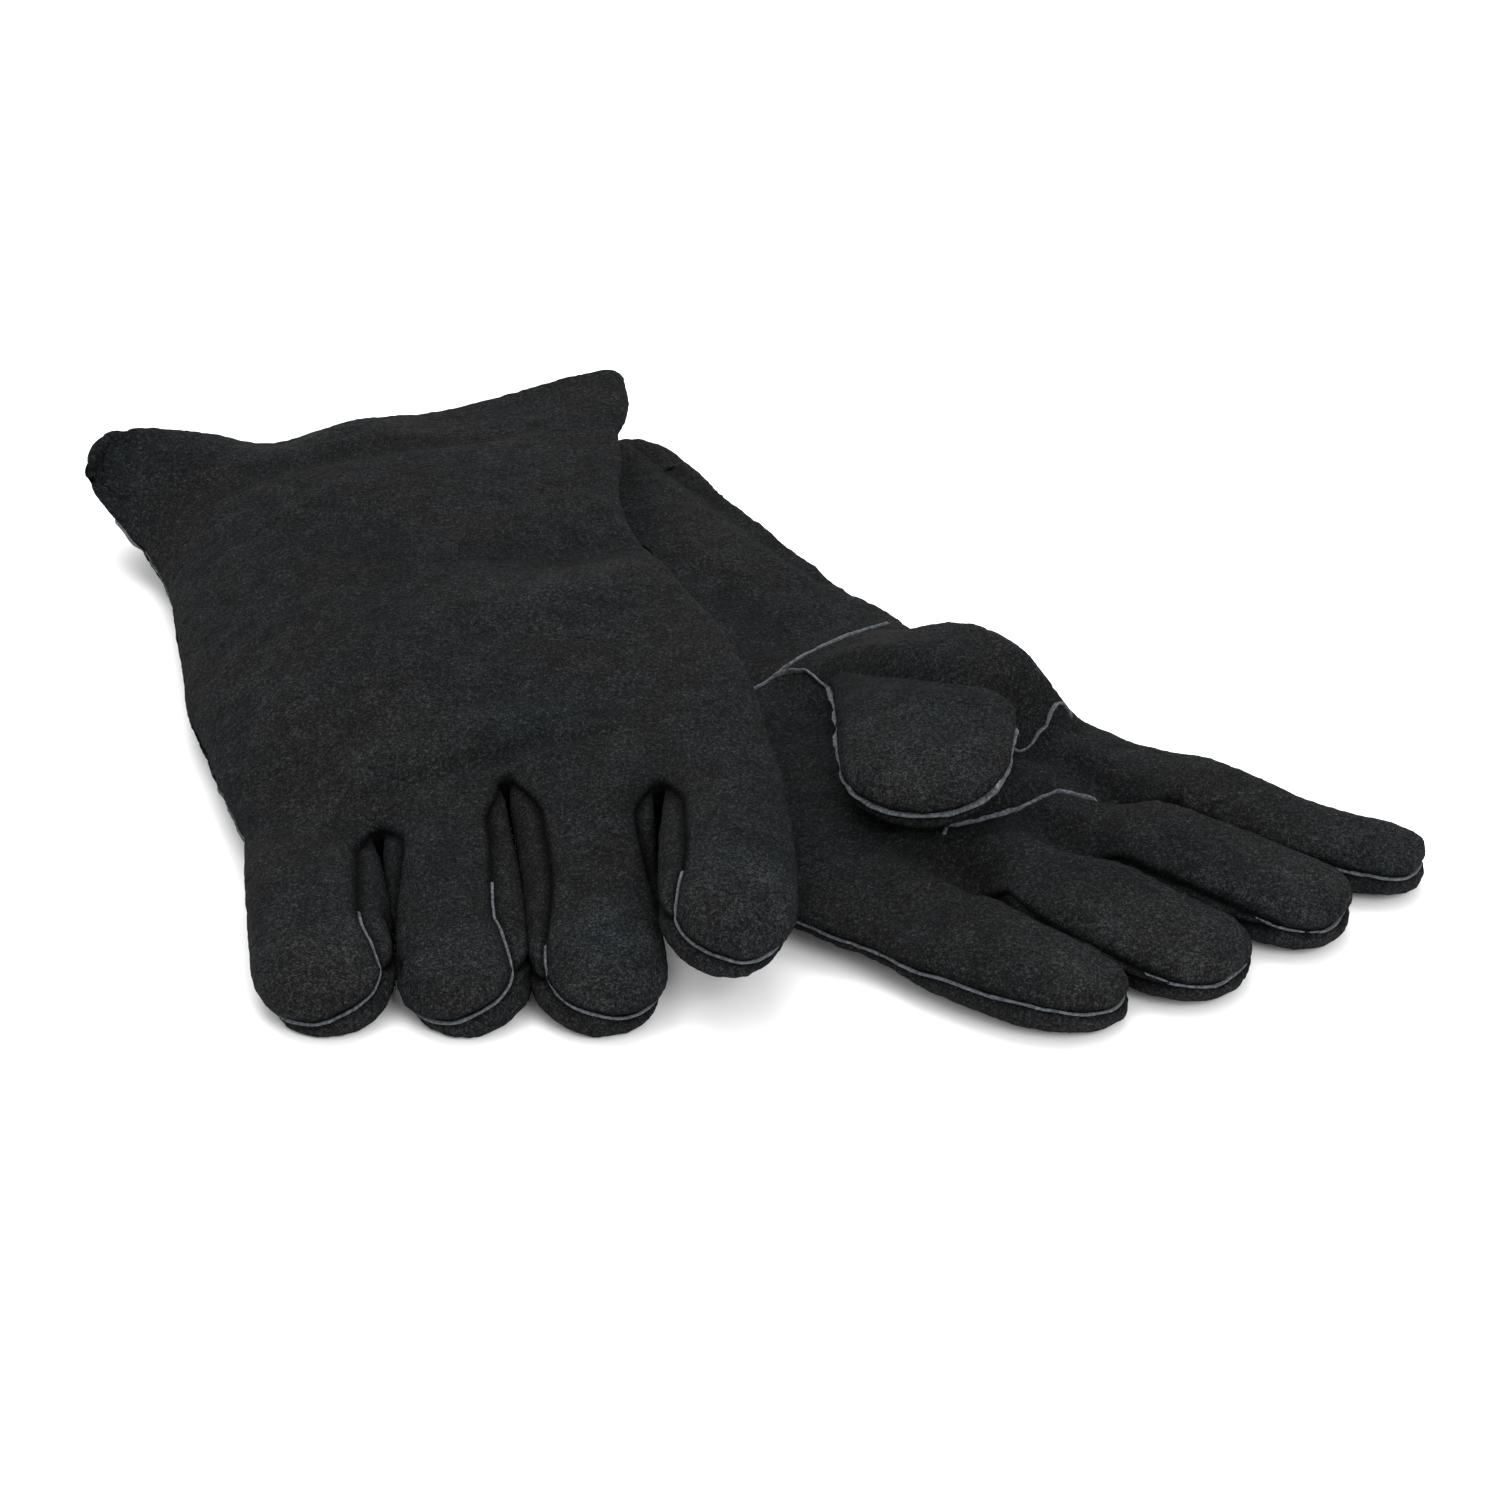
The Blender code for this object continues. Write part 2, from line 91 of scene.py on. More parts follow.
# A glove is given by its sections and by how its fingers leave the hand.
#   hand      sections from the cuff's mouth to the knuckles, each (left xyz, right xyz, rise of the
#             top, fall of the bottom, lift, skew, bow, power, floor). Left is the little finger's side
#   wrist     place of the cuff's seam, counted in hand sections
#   splits    shares of the width at which the fingers part, from the index finger's side
#   forks     how much further the hand reaches at each split, in sections
#   wall      half angle of a fourchette at its root
#   morph     length over which a finger turns from a slice of the hand to a tube
#   soft      how much the leather is smoothed along the finger roots, and how far from a fork
#   roll      turn of each finger about its length, in radians
#   welts     shares of the length at which the welt of each finger, and then of the thumb, starts
#             along its left side and along its right side
#   blunt     power of the outline of a fingertip, an ellipse at 2
#   cap       length of a fingertip in half widths
#   valley    depth, width and length of the hollow that runs back from a fork
#   fingers   stations (x, y, z, half width, half height) from root to tip
UPPER = {
    "name": "upper",
    "palm_up": False,
    "hand": (
        (-225, 118, 40, -45, 161, 41, 8, 10, -20, 12, 7, SQUARE, FLOOR),
        (-203, 80, 14, -39.5, 118, 41, 10, 8, 5, -6, 6, SQUARE, FLOOR),
        (-187, 30, 10, -41.5, 58, 41, 12, 7, 8, -12, 0, SQUARE, FLOOR),
        (-179, -18, 10, -23, 6, 41, 13, 7, 8, -11, 0, SQUARE, FLOOR),
        (-168.5, -62, 11, -2.5, -50, 42, 13, 7, 6, -8, 0, SQUARE, FLOOR),
        (-153, -110, 12, 9, -106, 38, 12, 9, 2, 0, 12, SQUARE, FLOOR),
    ),
    "wrist": 2.1,
    "splits": (0.0, 0.262, 0.53, 0.78, 1.0),
    "forks": (0.0, 0.52, 0.30, 0.50, 0.0),
    "wall": math.radians(60),
    "morph": 15.0,
    "soft": (0.6, 6.0),
    "roll": (-0.4, -0.35, 0.6, 0.55),
    "welts": ((0.62, 0.66), (0.7, 0.6), (0.66, 0.42), (0.0, 0.55), (0.3, 0.3)),
    "blunt": 2.0,
    "cap": 1.2,
    "valley": (1.5, 6.0, 14.0),
    "fingers": {
        "index": ((-7, -148, 32, 20, 11), (-6.5, -172, 28.5, 20, 12), (-5.5, -195.5, 24, 19.5, 11.5)),
        "middle": ((-46, -148, 19.5, 20.2, 12), (-44, -175, 13, 20.4, 13), (-38.5, -201.5, 8.5, 22.3, 12.5)),
        "ring": ((-85.5, -146, 16, 20.2, 12.5), (-82, -174, 11.5, 20.6, 13), (-81, -201.5, 8, 20.8, 12)),
        "little": ((-125.5, -148, 12.5, 21, 12.5), (-121.5, -174, 11, 21.2, 12.5),
                   (-117, -201.5, 8, 21.3, 12.5)),
    },
}
LOWER = {
    "name": "lower",
    "palm_up": True,
    "hand": (
        (-170, 46, 8.5, -37, 167, 12, 7, 10.5, 0, 0, 4, SQUARE, FLOOR),
        (-130, -8, 8.5, 1, 113, 12, 7, 10.5, 0, 0, 0, SQUARE, FLOOR),
        (-90, -62, 8.5, 32, 54, 12, 7, 10.5, 0, 0, 0, SQUARE, FLOOR),
        (-48, -104, 8.5, 62, 8, 13, 7, 11, 0, 0, 0, SQUARE, FLOOR),
        (-2, -144, 11, 92, -31, 15, 8, 13, 0, 0, 0, SQUARE, FLOOR),
        (32, -169, 11.6, 120, -56, 15, 8.5, 13, 0, 0, 4, SQUARE, FLOOR),
    ),
    "wrist": 2.62,
    "splits": (0.0, 0.235, 0.46, 0.69, 1.0),
    "forks": (0.0, 0.50, 0.85, 0.35, 0.0),
    "wall": math.radians(22),
    "morph": 24.0,
    "soft": (0.8, 14.0),
    "roll": (-0.15, -0.12, -0.12, -0.22),
    "welts": ((0.7, 0.3), (0.7, 0.6), (0.66, 0.42), (0.0, 0.55), (0.16, 0.55)),
    "blunt": 2.5,
    "cap": 1.0,
    "valley": (8.0, 7.5, 30.0),
    "fingers": {
        "index": ((139.5, -90.5, 13.5, 16.5, 10.5), (167, -109, 11.5, 15.7, 9.5),
                  (201, -120, 9.5, 13.4, 7.8)),
        "middle": ((120.5, -116.5, 13.5, 19, 11.5), (148, -135, 12, 19.6, 11),
                   (174.5, -148.5, 9.5, 17.8, 8.5)),
        "ring": ((96, -147, 13, 21.5, 11.5), (119, -163, 10.5, 22, 10), (142, -175.7, 8.5, 18.3, 7.5)),
        "little": ((67, -172, 12, 21, 10.5), (87.5, -184, 10.5, 19.8, 9.5), (107.5, -189, 8, 14.5, 7.5)),
    },
}
# Sections of the lower glove's folded thumb, from its root to its tip.
LOBE = (
    (28, -3, 13, 70, -50, 25, 5, 5, -3, 0, 0, SQUARE, FLOOR),
    (24, -27, 22, 77, -71, 37, 8, 8, -2.5, 0, 0, SQUARE, FLOOR),
    (25, -60, 28, 81, -85, 41, 10.5, 9, 0, 0, 0, SQUARE, FLOOR),
    (25.5, -90, 31, 79.5, -101, 38, 10.5, 9.5, 0, 0, 0, SQUARE, FLOOR),
    (27, -126, 30, 74.5, -128, 32, 9, 8, 0, 0, 0, SQUARE, FLOOR),
)
# Local pushes (x, y, radius, dx, dy, dz) that make the outline uneven.
NUDGES = {
    "upper": ((-200, 118, 24, -1, 1, 3.5), (-228, 110, 19, -15, -11, -9), (-165, 132, 14, 0, 0, -3),
              (-186, 124, 16, 0, 0, 2), (-90, 130, 34, 0, -3.5, -5), (-136, 130, 22, 0, 0, 4.5),
              (-38, 114, 18, -4, 0, 0), (-206, 86, 22, -4, 0, 0), (-190, 22, 26, -3, 0, 0),
              (-177, -28, 22, -2, 0, 0), (-44, 160, 12, 0.5, 0, 1)),
    "lower": ((-40, 165, 24, 2, 3, 0), (2, 100, 30, -2, -2, 0), (158, -84, 22, -3, -3, 0),
              (46, 26, 14, 1, 2, 1)),
}
# Corners of the mouth that are rounded: corner, a point along the mouth, one along the side, radius.
CORNERS = {
    "upper": (((-226, 119), (-45, 161), (-203, 80), 30.0), ((-44, 162), (-225, 118), (-39, 118), 5.0)),
    "lower": (((-36, 168), (-170, 46), (1, 113), 14.0),),
}
# Stations of the upper glove's tucked thumb and of its base.
TUCKED = ((-17, -37, 25, 17, 5.2), (-26, -52, 24.5, 18, 5.2), (-40, -76, 22.8, 17, 5.2))
TUCKED_BASE = ((-19, -4, 28.5, 14, 5.5), (-19, -14, 28, 16, 5.5), (-19.5, -26, 27, 16, 5.5))


# ---------------------------------------------------------------- numbers and noise

def smooth(x):
    x = np.clip(x, 0.0, 1.0)
    return x * x * (3 - 2 * x)


def unit(vectors):
    return vectors / np.maximum(np.linalg.norm(vectors, axis=-1, keepdims=True), 1e-9)


def signed_power(value, power):
    return np.sign(value) * np.abs(value) ** power


def noise(points, size, seed):
    """Smooth noise from -1 to 1 with features of one size."""
    p = np.asarray(points, float) / size + seed * 17.31
    base = np.floor(p)
    f = smooth(p - base)
    base = base.astype(np.int64)
    total = np.zeros(len(p))
    for corner in np.ndindex(2, 2, 2):
        cell = (base + corner).astype(np.uint32)
        mixed = (cell[:, 0] * np.uint32(73856093) ^ cell[:, 1] * np.uint32(19349663)
                 ^ cell[:, 2] * np.uint32(83492791) ^ np.uint32(seed * 7919 + 13))
        mixed = (mixed ^ (mixed >> np.uint32(13))) * np.uint32(1274126177)
        mixed = (mixed ^ (mixed >> np.uint32(16))) & np.uint32(0xFFFF)
        share = np.where(corner, f, 1 - f).prod(axis=1)
        total += share * (mixed / 32767.5 - 1)
    return total


def spline(rows, places):
    """Catmull-Rom values between rows of numbers, at places from 0 to len(rows) - 1."""
    rows = np.asarray(rows, float)
    last = len(rows) - 1
    rows = np.vstack([2 * rows[0] - rows[1], rows, 2 * rows[last] - rows[last - 1]])
    places = np.clip(np.atleast_1d(places), 0, last)
    index = np.minimum(places.astype(int), last - 1)
    f = (places - index)[:, None]
    a, b, c, d = (rows[index + k] for k in range(4))
    return 0.5 * (2 * b + (c - a) * f + (2 * a - 5 * b + 4 * c - d) * f ** 2
                  + (3 * b - a - 3 * c + d) * f ** 3)


def lengths(points):
    """Length run from the first point to each."""
    return np.concatenate([[0.0], np.cumsum(np.linalg.norm(np.diff(points, axis=0), axis=1))])


# ---------------------------------------------------------------- sections

def axes(left, right):
    """Unit vectors along a section, and level and square to it."""
    across = unit(right - left)
    return across, unit(np.stack([-across[..., 1], across[..., 0], 0 * across[..., 0]], axis=-1))


def ring(sections, angles):
    """Points of flattened sections at angles: 0 right, quarter turn top, half turn left."""
    sections = np.asarray(sections, float)
    if sections.ndim == 2:
        sections = sections[:, None, :]
    left, right = sections[..., 0:3], sections[..., 3:6]
    top, bottom, lift, skew, bow, power, floor = (sections[..., k] for k in range(6, 13))
    _, back = axes(left, right)
    angles = np.broadcast_to(angles, (len(sections), np.shape(angles)[-1]))
    u = signed_power(np.cos(angles), 2 / power)
    v = signed_power(np.sin(angles), 2 / power)
    crown = 1 - u * u
    points = (left + right) / 2 + (right - left) * (u / 2)[..., None]
    points = points + back * (bow * crown)[..., None]
    points[..., 2] += v * np.where(v > 0, top, bottom) + (lift + skew * u) * crown
    points[..., 2] = np.maximum(points[..., 2], floor)
    return points


def inset(sections, by):
    """Sections of a tube that lies inside this one."""
    made = np.array(sections, float)
    by = np.reshape(by, (-1, 1))
    across = unit(made[:, 3:6] - made[:, 0:3])
    made[:, 0:3] += across * by
    made[:, 3:6] -= across * by
    made[:, 6:8] = np.maximum(made[:, 6:8] - by, 0.6)
    made[:, 12] += by[:, 0]
    return made


def middles(sections):
    return (sections[:, 0:3] + sections[:, 3:6]) / 2


def across_section(centre, width, rise, direction):
    """Section of a tube that runs in a direction, from its half width and half height."""
    side = unit(np.array((-direction[1], direction[0], 0.0))) * width
    return np.array((*(centre - side), *(centre + side), rise, rise, 0, 0, 0, SQUARE, FLOOR))


def stations_to_sections(stations):
    spots = np.array([station[0:3] for station in stations], float)
    last = len(spots) - 1
    return np.array([across_section(spots[i], *station[3:5], spots[min(i + 1, last)] - spots[max(i - 1, 0)])
                     for i, station in enumerate(stations)])


def stalled(sections, tip_rows=16, blunt=2.0, cap=1.0):
    """Sections along a stall every STEP, closed at the last one by a tip.

    The tip is cap half widths long, and an ellipse in plan where blunt is 2.
    """
    sections = np.asarray(sections, float)
    count = len(sections)
    fine = spline(sections, np.linspace(0, count - 1, 60 * count))
    run = lengths(middles(fine))
    width = np.linalg.norm(fine[-1, 3:6] - fine[-1, 0:3]) / 2
    straight = max(run[-1] - width * cap, run[-1] * 0.4)
    steps = max(int(straight / STEP), 4)
    turn = np.sin(np.linspace(0, math.pi / 2, tip_rows + 1)[1:])
    at = np.concatenate([np.linspace(0, straight, steps), straight + (run[-1] - straight) * turn])
    rows = np.stack([np.interp(at, run, fine[:, k]) for k in range(13)], axis=1)
    share = np.ones(len(at))
    share[steps:] = np.maximum(1 - turn ** blunt, 0.0) ** (1 / blunt)
    return narrowed(rows, np.maximum(share, 0.05)), at


def narrowed(rows, share):
    """Sections at a share of their width, and thinner to match."""
    rows, middle = rows.copy(), middles(rows)
    for k in (0, 3):
        rows[:, k:k + 3] = middle + (rows[:, k:k + 3] - middle) * share[:, None]
    rows[:, 6:8] *= (share ** 0.62)[:, None]
    return rows


# ---------------------------------------------------------------- a skin of quads

class Skin:
    """Grids of quads gathered into one mesh, with the label of the piece that each face is in."""

    def __init__(self):
        self.points, self.faces, self.labels, self.count = [], [], [], 0

    def add(self, grid, label, closed=False):
        """label is a name, or a function of (row, column) arrays giving names."""
        n, m = grid.shape[:2]
        index = self.count + np.arange(n * m).reshape(n, m)
        columns = np.arange(m if closed else m - 1)
        i, j = np.meshgrid(np.arange(n - 1), columns, indexing="ij")
        k = (j + 1) % m
        quads = np.stack([index[i, j], index[i, k], index[i + 1, k], index[i + 1, j]], axis=-1)
        self.points.append(grid.reshape(-1, 3))
        self.faces.append(quads.reshape(-1, 4))
        names = label(i, j) if callable(label) else np.full(i.shape, label, dtype=object)
        self.labels.append(np.asarray(names, dtype=object).reshape(-1))
        self.count += n * m
        return index

    def cap(self, row, label, flipped=False):
        """Closes the end of a tube with a fan of faces to the middle of its last row."""
        fan = np.stack([row, np.broadcast_to(row.mean(axis=0), row.shape)])
        self.add(fan[::-1] if flipped else fan, label, closed=True)

    def weld(self):
        """Merges vertices that meet, and drops the faces that this closes up."""
        points, faces = np.concatenate(self.points), np.concatenate(self.faces)
        labels = np.concatenate(self.labels)
        key = np.floor(points / WELD + 0.317).astype(np.int64)
        _, first, index = np.unique(key, axis=0, return_index=True, return_inverse=True)
        index = index.reshape(-1)
        self.index, points, faces = index, points[first], index[faces]
        distinct = np.stack([faces[:, k] != faces[:, (k + 1) % 4] for k in range(4)]).sum(axis=0)
        whole = distinct >= 3
        return points, faces[whole], labels[whole]


def face_normals(points, faces):
    a, b, c, d = (points[faces[:, k]] for k in range(4))
    return np.cross(c - a, d - b)


def vertex_normals(points, faces):
    normals = face_normals(points, faces)
    total = np.zeros_like(points)
    for k in range(4):
        for axis in range(3):
            total[:, axis] += np.bincount(faces[:, k], normals[:, axis], len(points))
    return unit(total)


def sides_of(faces):
    """Pairs of vertices along the sides of the faces, in the faces' own order."""
    pairs = np.concatenate([faces[:, [k, (k + 1) % 4]] for k in range(4)])
    return pairs[pairs[:, 0] != pairs[:, 1]]


def relaxed(points, faces, weight, rounds):
    """Moves vertices towards the middle of their neighbours, by a weight each."""
    edges = np.unique(np.sort(sides_of(faces), axis=1), axis=0)
    ends = np.concatenate([edges, edges[:, ::-1]])
    degree = np.maximum(np.bincount(ends[:, 0], minlength=len(points)), 1)
    for _ in range(rounds):
        middle = np.stack([np.bincount(ends[:, 0], points[ends[:, 1], axis], len(points))
                           for axis in range(3)], axis=1) / degree[:, None]
        points = points + (middle - points) * (0.5 * weight)[:, None]
    return points


def distance_to(points, targets):
    """Distance from each point to the nearest target, and that target's number."""
    tree = KDTree(len(targets))
    for number, target in enumerate(targets):
        tree.insert(target, number)
    tree.balance()
    found = [tree.find(point) for point in points]
    return np.array([hit[2] for hit in found]), np.array([hit[1] for hit in found])


# ---------------------------------------------------------------- objects

def place(points):
    return (np.asarray(points, float) - CENTRE) * MM


def linked(name, data):
    """A new object in the scene."""
    thing = bpy.data.objects.new(name, data)
    bpy.context.scene.collection.objects.link(thing)
    return thing


def mesh_object(name, points, faces, kind, normals=None, painted_light=None):
    """Object from quads or triangles, a triangle being a quad that repeats its last corner."""
    mesh = bpy.data.meshes.new(name)
    faces = np.asarray(faces)
    repeats = np.stack([faces[:, k] == faces[:, (k + 1) % 4] for k in range(4)], axis=1)
    corners = 4 - repeats.sum(axis=1)
    starts = np.concatenate([[0], np.cumsum(corners)[:-1]])
    loops = faces[~repeats]
    mesh.vertices.add(len(points))
    mesh.vertices.foreach_set("co", place(points).astype(np.float32).reshape(-1))
    mesh.loops.add(len(loops))
    mesh.loops.foreach_set("vertex_index", loops.astype(np.int32))
    mesh.polygons.add(len(faces))
    mesh.polygons.foreach_set("loop_start", starts.astype(np.int32))
    mesh.update(calc_edges=True)
    mesh.validate()
    mesh.shade_smooth()
    if normals is not None:
        mesh.normals_split_custom_set_from_vertices([tuple(n) for n in normals])
    for key, values in (painted_light or {}).items():
        mesh.attributes.new(key, "FLOAT", "POINT").data.foreach_set("value", values.astype(np.float32))
    mesh.materials.append(MATERIALS[kind])
    return linked(name, mesh)


def thickened(points, faces, normals, thickness):
    """The patch with an inner face at a depth and a rim, as one closed body."""
    count, pairs = len(points), sides_of(faces)
    key = pairs[:, 0].astype(np.int64) * count + pairs[:, 1]
    back = pairs[:, 1].astype(np.int64) * count + pairs[:, 0]
    rim = pairs[~np.isin(key, back)]
    sides = np.stack([rim[:, 1], rim[:, 0], rim[:, 0] + count, rim[:, 1] + count], axis=1)
    inner = points - normals * thickness
    return (np.concatenate([points, inner]),
            np.concatenate([faces, faces[:, ::-1] + count, sides]),
            np.concatenate([normals, -normals]))


def part_of(skin, label):
    """Numbers of the vertices in one piece of a skin, and its faces counted over them."""
    faces = skin["faces"][skin["labels"] == label]
    used, index = np.unique(faces, return_inverse=True)
    return used, index.reshape(faces.shape)


# ---------------------------------------------------------------- materials

class Recipe:
    """A material in the making: its nodes, their links and its shader."""

    def __init__(self, name):
        self.material = bpy.data.materials.new(name)
        self.material.use_nodes = True
        self.tree = self.material.node_tree
        self.shader = self.tree.nodes["Principled BSDF"]
        self.where = self.node("ShaderNodeTexCoord")

    def node(self, kind, **settings):
        """A node with its settings, which are attributes or inputs named with underscores."""
        made = self.tree.nodes.new(kind)
        for key, value in settings.items():
            if hasattr(made, key):
                setattr(made, key, value)
            else:
                made.inputs[key.replace("_", " ")].default_value = value
        return made

    def link(self, output, made, socket):
        self.tree.links.new(output, made.inputs[socket])

    def speckle(self, scale, detail, roughness):
        """Noise over the object, as an output from 0 to 1."""
        texture = self.node("ShaderNodeTexNoise", Scale=scale, Detail=detail, Roughness=roughness)
        self.link(self.where.outputs["Object"], texture, "Vector")
        return texture.outputs["Fac"]

    def scaled(self, value, factor, offset):
        """value * factor + offset, where offset is a number or an output."""
        made = self.node("ShaderNodeMath", operation="MULTIPLY_ADD")
        self.link(value, made, 0)
        made.inputs[1].default_value = factor
        if isinstance(offset, float):
            made.inputs[2].default_value = offset
        else:
            self.link(offset, made, 2)
        return made.outputs[0]

    def ramp(self, value, *stops):
        """Colours along a value. A stop is (position, colour)."""
        made = self.node("ShaderNodeValToRGB")
        elements = made.color_ramp.elements
        elements[0].position, elements[1].position = stops[0][0], stops[-1][0]
        elements[0].color, elements[1].color = (*stops[0][1], 1), (*stops[-1][1], 1)
        for position, colour in stops[1:-1]:
            elements.new(position).color = (*colour, 1)
        self.link(value, made, "Fac")
        return made.outputs["Color"]

    def finished(self, colour, height, strength, distance, gloss):
        """The material with its colour, bumps and gloss."""
        self.link(colour, self.shader, "Base Color")
        bump = self.node("ShaderNodeBump", Strength=strength, Distance=distance)
        self.link(height, bump, "Height")
        self.link(bump.outputs["Normal"], self.shader, "Normal")
        self.shader.inputs["Roughness"].default_value = 0.95
        self.shader.inputs["Specular IOR Level"].default_value = gloss
        return self.material


def suede(name, tint):
    """Brushed split leather: speckled nap, with painted highlight at the finger tips and on raised leather,
    and painted shade in the seams.
    """
    recipe = Recipe(name)
    height = -0.24
    for scale, share in ((1800.0, 0.80), (800.0, 0.50), (110.0, 0.18)):
        height = recipe.scaled(recipe.speckle(scale, 2.0, 0.6), share, height)
    # painted highlight: the colour lightens at the finger tips and where the leather stands higher
    tip = recipe.node("ShaderNodeAttribute", attribute_name="nap")
    grain_and_highlight = recipe.scaled(tip.outputs["Fac"], 0.045, height)
    colour = recipe.ramp(grain_and_highlight, (0.38, NAP_DARK), (0.56, NAP_MIDDLE), (0.80, NAP_LIGHT))
    level = recipe.node("ShaderNodeMapRange", From_Min=0.42, From_Max=0.68, To_Max=1.0)
    recipe.link(recipe.speckle(26.0, 3.0, 0.55), level, "Value")
    cast = recipe.node("ShaderNodeMix", data_type="RGBA", blend_type="MULTIPLY")
    recipe.link(level.outputs["Result"], cast, "Factor")
    recipe.link(colour, cast, "A")
    cast.inputs["B"].default_value = (*tint, 1)
    # painted shade: the leather's colour darkens near the seams, where the grooves would be in shade
    seam = recipe.node("ShaderNodeAttribute", attribute_name="seam")
    shaded = recipe.node("ShaderNodeVectorMath", operation="SCALE")
    recipe.link(cast.outputs["Result"], shaded, 0)
    recipe.link(recipe.scaled(seam.outputs["Fac"], -0.9, 1.0), shaded, "Scale")
    return recipe.finished(shaded.outputs["Vector"], height, 0.8, 0.0007, 0.04)


def cloth(name, dark, light, scale, strength):
    """Woven or brushed lining."""
    recipe = Recipe(name)
    weave = recipe.speckle(scale, 3.0, 0.6)
    return recipe.finished(recipe.ramp(weave, (0.35, dark), (0.7, light)), weave, strength, 0.0005, 0.2)


NAP_DARK = (0.0033, 0.0034, 0.0035)
NAP_MIDDLE = (0.0098, 0.0099, 0.0100)
NAP_LIGHT = (0.038, 0.041, 0.043)
MATERIALS = {
    "leather": suede("leather", (0.88, 1.02, 1.08)),
    "palm_leather": suede("palm_leather", (0.84, 0.94, 0.98)),
    "fourchette_leather": suede("fourchette_leather", (0.88, 1.0, 1.05)),
    "welt": cloth("welt", (0.030, 0.034, 0.038), (0.105, 0.118, 0.132), 900.0, 0.5),
    "fleece": cloth("fleece", (0.10, 0.10, 0.098), (0.24, 0.24, 0.235), 500.0, 0.9),
    "cotton": cloth("cotton", (0.07, 0.07, 0.07), (0.16, 0.16, 0.16), 1600.0, 0.6),
}


# ---------------------------------------------------------------- the hand and its fingers

def split_angles(glove):
    """Angles of the top columns, right to left, and the numbers of those at the finger splits."""
    end = np.array(glove["hand"][-1:], float)
    marks = [math.acos(float(signed_power(np.array(1 - 2 * share), SQUARE / 2)))
             for share in glove["splits"]]
    angles, numbers = [np.array([0.0])], [0]
    for first, last in zip(marks, marks[1:]):
        fine = np.linspace(first, last, 200)
        run = lengths(ring(end, fine)[0])
        count = int(round(run[-1] / STEP))
        angles.append(np.interp(np.linspace(0, run[-1], count + 1), run, fine)[1:])
        numbers.append(numbers[-1] + count)
    return np.concatenate(angles), numbers


def hand_grid(glove, top_angles):
    """Rows of the hand and cuff tube, from inside the hem, over the mouth, to the knuckles."""
    rows = np.array(glove["hand"], float)
    last = len(rows) - 1
    rows = np.vstack([rows, 2 * rows[-1] - rows[-2]])
    fine = spline(rows, np.linspace(0, last + 0.3, 400))
    run = lengths(middles(fine))
    at = np.linspace(0, run[-1], int(run[-1] / STEP) + 1)
    places = np.interp(at, run, np.linspace(0, last + 0.3, 400)) * last / (last + 0.3)
    angles = np.concatenate([top_angles, 2 * math.pi - top_angles[-2:0:-1]])
    across = (1 - signed_power(np.cos(angles), 2 / SQUARE)) / 2
    ends = spline(np.array(glove["forks"])[:, None],
                  np.interp(across, glove["splits"], range(len(glove["splits"]))))[:, 0]
    reach = places[:, None] + np.clip(places[:, None] - last + 1.5, 0, None) * ends[None, :] / 1.5
    sections = spline(rows, reach.reshape(-1)).reshape(*reach.shape, 13)
    outer = ring(sections, angles)
    sections = spline(rows, places)
    depth = np.searchsorted(at, HEM)
    sunk = HEM_THICK + HEM_SINK * np.linspace(0, 1, depth + 1) ** 2
    inner = ring(inset(sections[:depth + 1], sunk), angles)[::-1]
    forward = unit(outer[0] - outer[2])
    turns = np.linspace(0, math.pi, 9)[1:-1]
    rim = [(inner[-1] + (outer[0] - inner[-1]) * (1 - math.cos(turn)) / 2
            + forward * (HEM_THICK / 2) * math.sin(turn)) for turn in turns]
    grid = np.concatenate([inner, np.array(rim), outer])
    for corner in CORNERS[glove["name"]]:
        grid = rounded(grid, *corner)
    grid = nudged(grid, NUDGES[glove["name"]])
    return grid, len(inner) + len(rim), len(inner), places


def rounded(points, corner, along, aside, radius):
    """Rounds a corner in plan, by drawing its square of leather into a quarter disc."""
    corner = np.array(corner, float)
    basis = np.stack([unit(np.array(along) - corner), unit(np.array(aside) - corner)])
    flat = (points[..., :2] - corner) @ np.linalg.inv(basis)
    s, t = 1 - flat[..., 0] / radius, 1 - flat[..., 1] / radius
    inside = (s > 0) & (t > 0)
    s_new = s * np.sqrt(1 - np.clip(t, 0, 1) ** 2 / 2)
    t_new = t * np.sqrt(1 - np.clip(s, 0, 1) ** 2 / 2)
    flat = radius * (1 - np.stack([np.where(inside, s_new, s), np.where(inside, t_new, t)], axis=-1))
    points = points.copy()
    points[..., :2] = flat @ basis + corner
    return points


def nudged(points, pushes):
    for x, y, radius, *push in pushes:
        near = np.exp(-((points[..., 0] - x) ** 2 + (points[..., 1] - y) ** 2) / radius ** 2)
        points = points + near[..., None] * np.array(push, float)
    return points


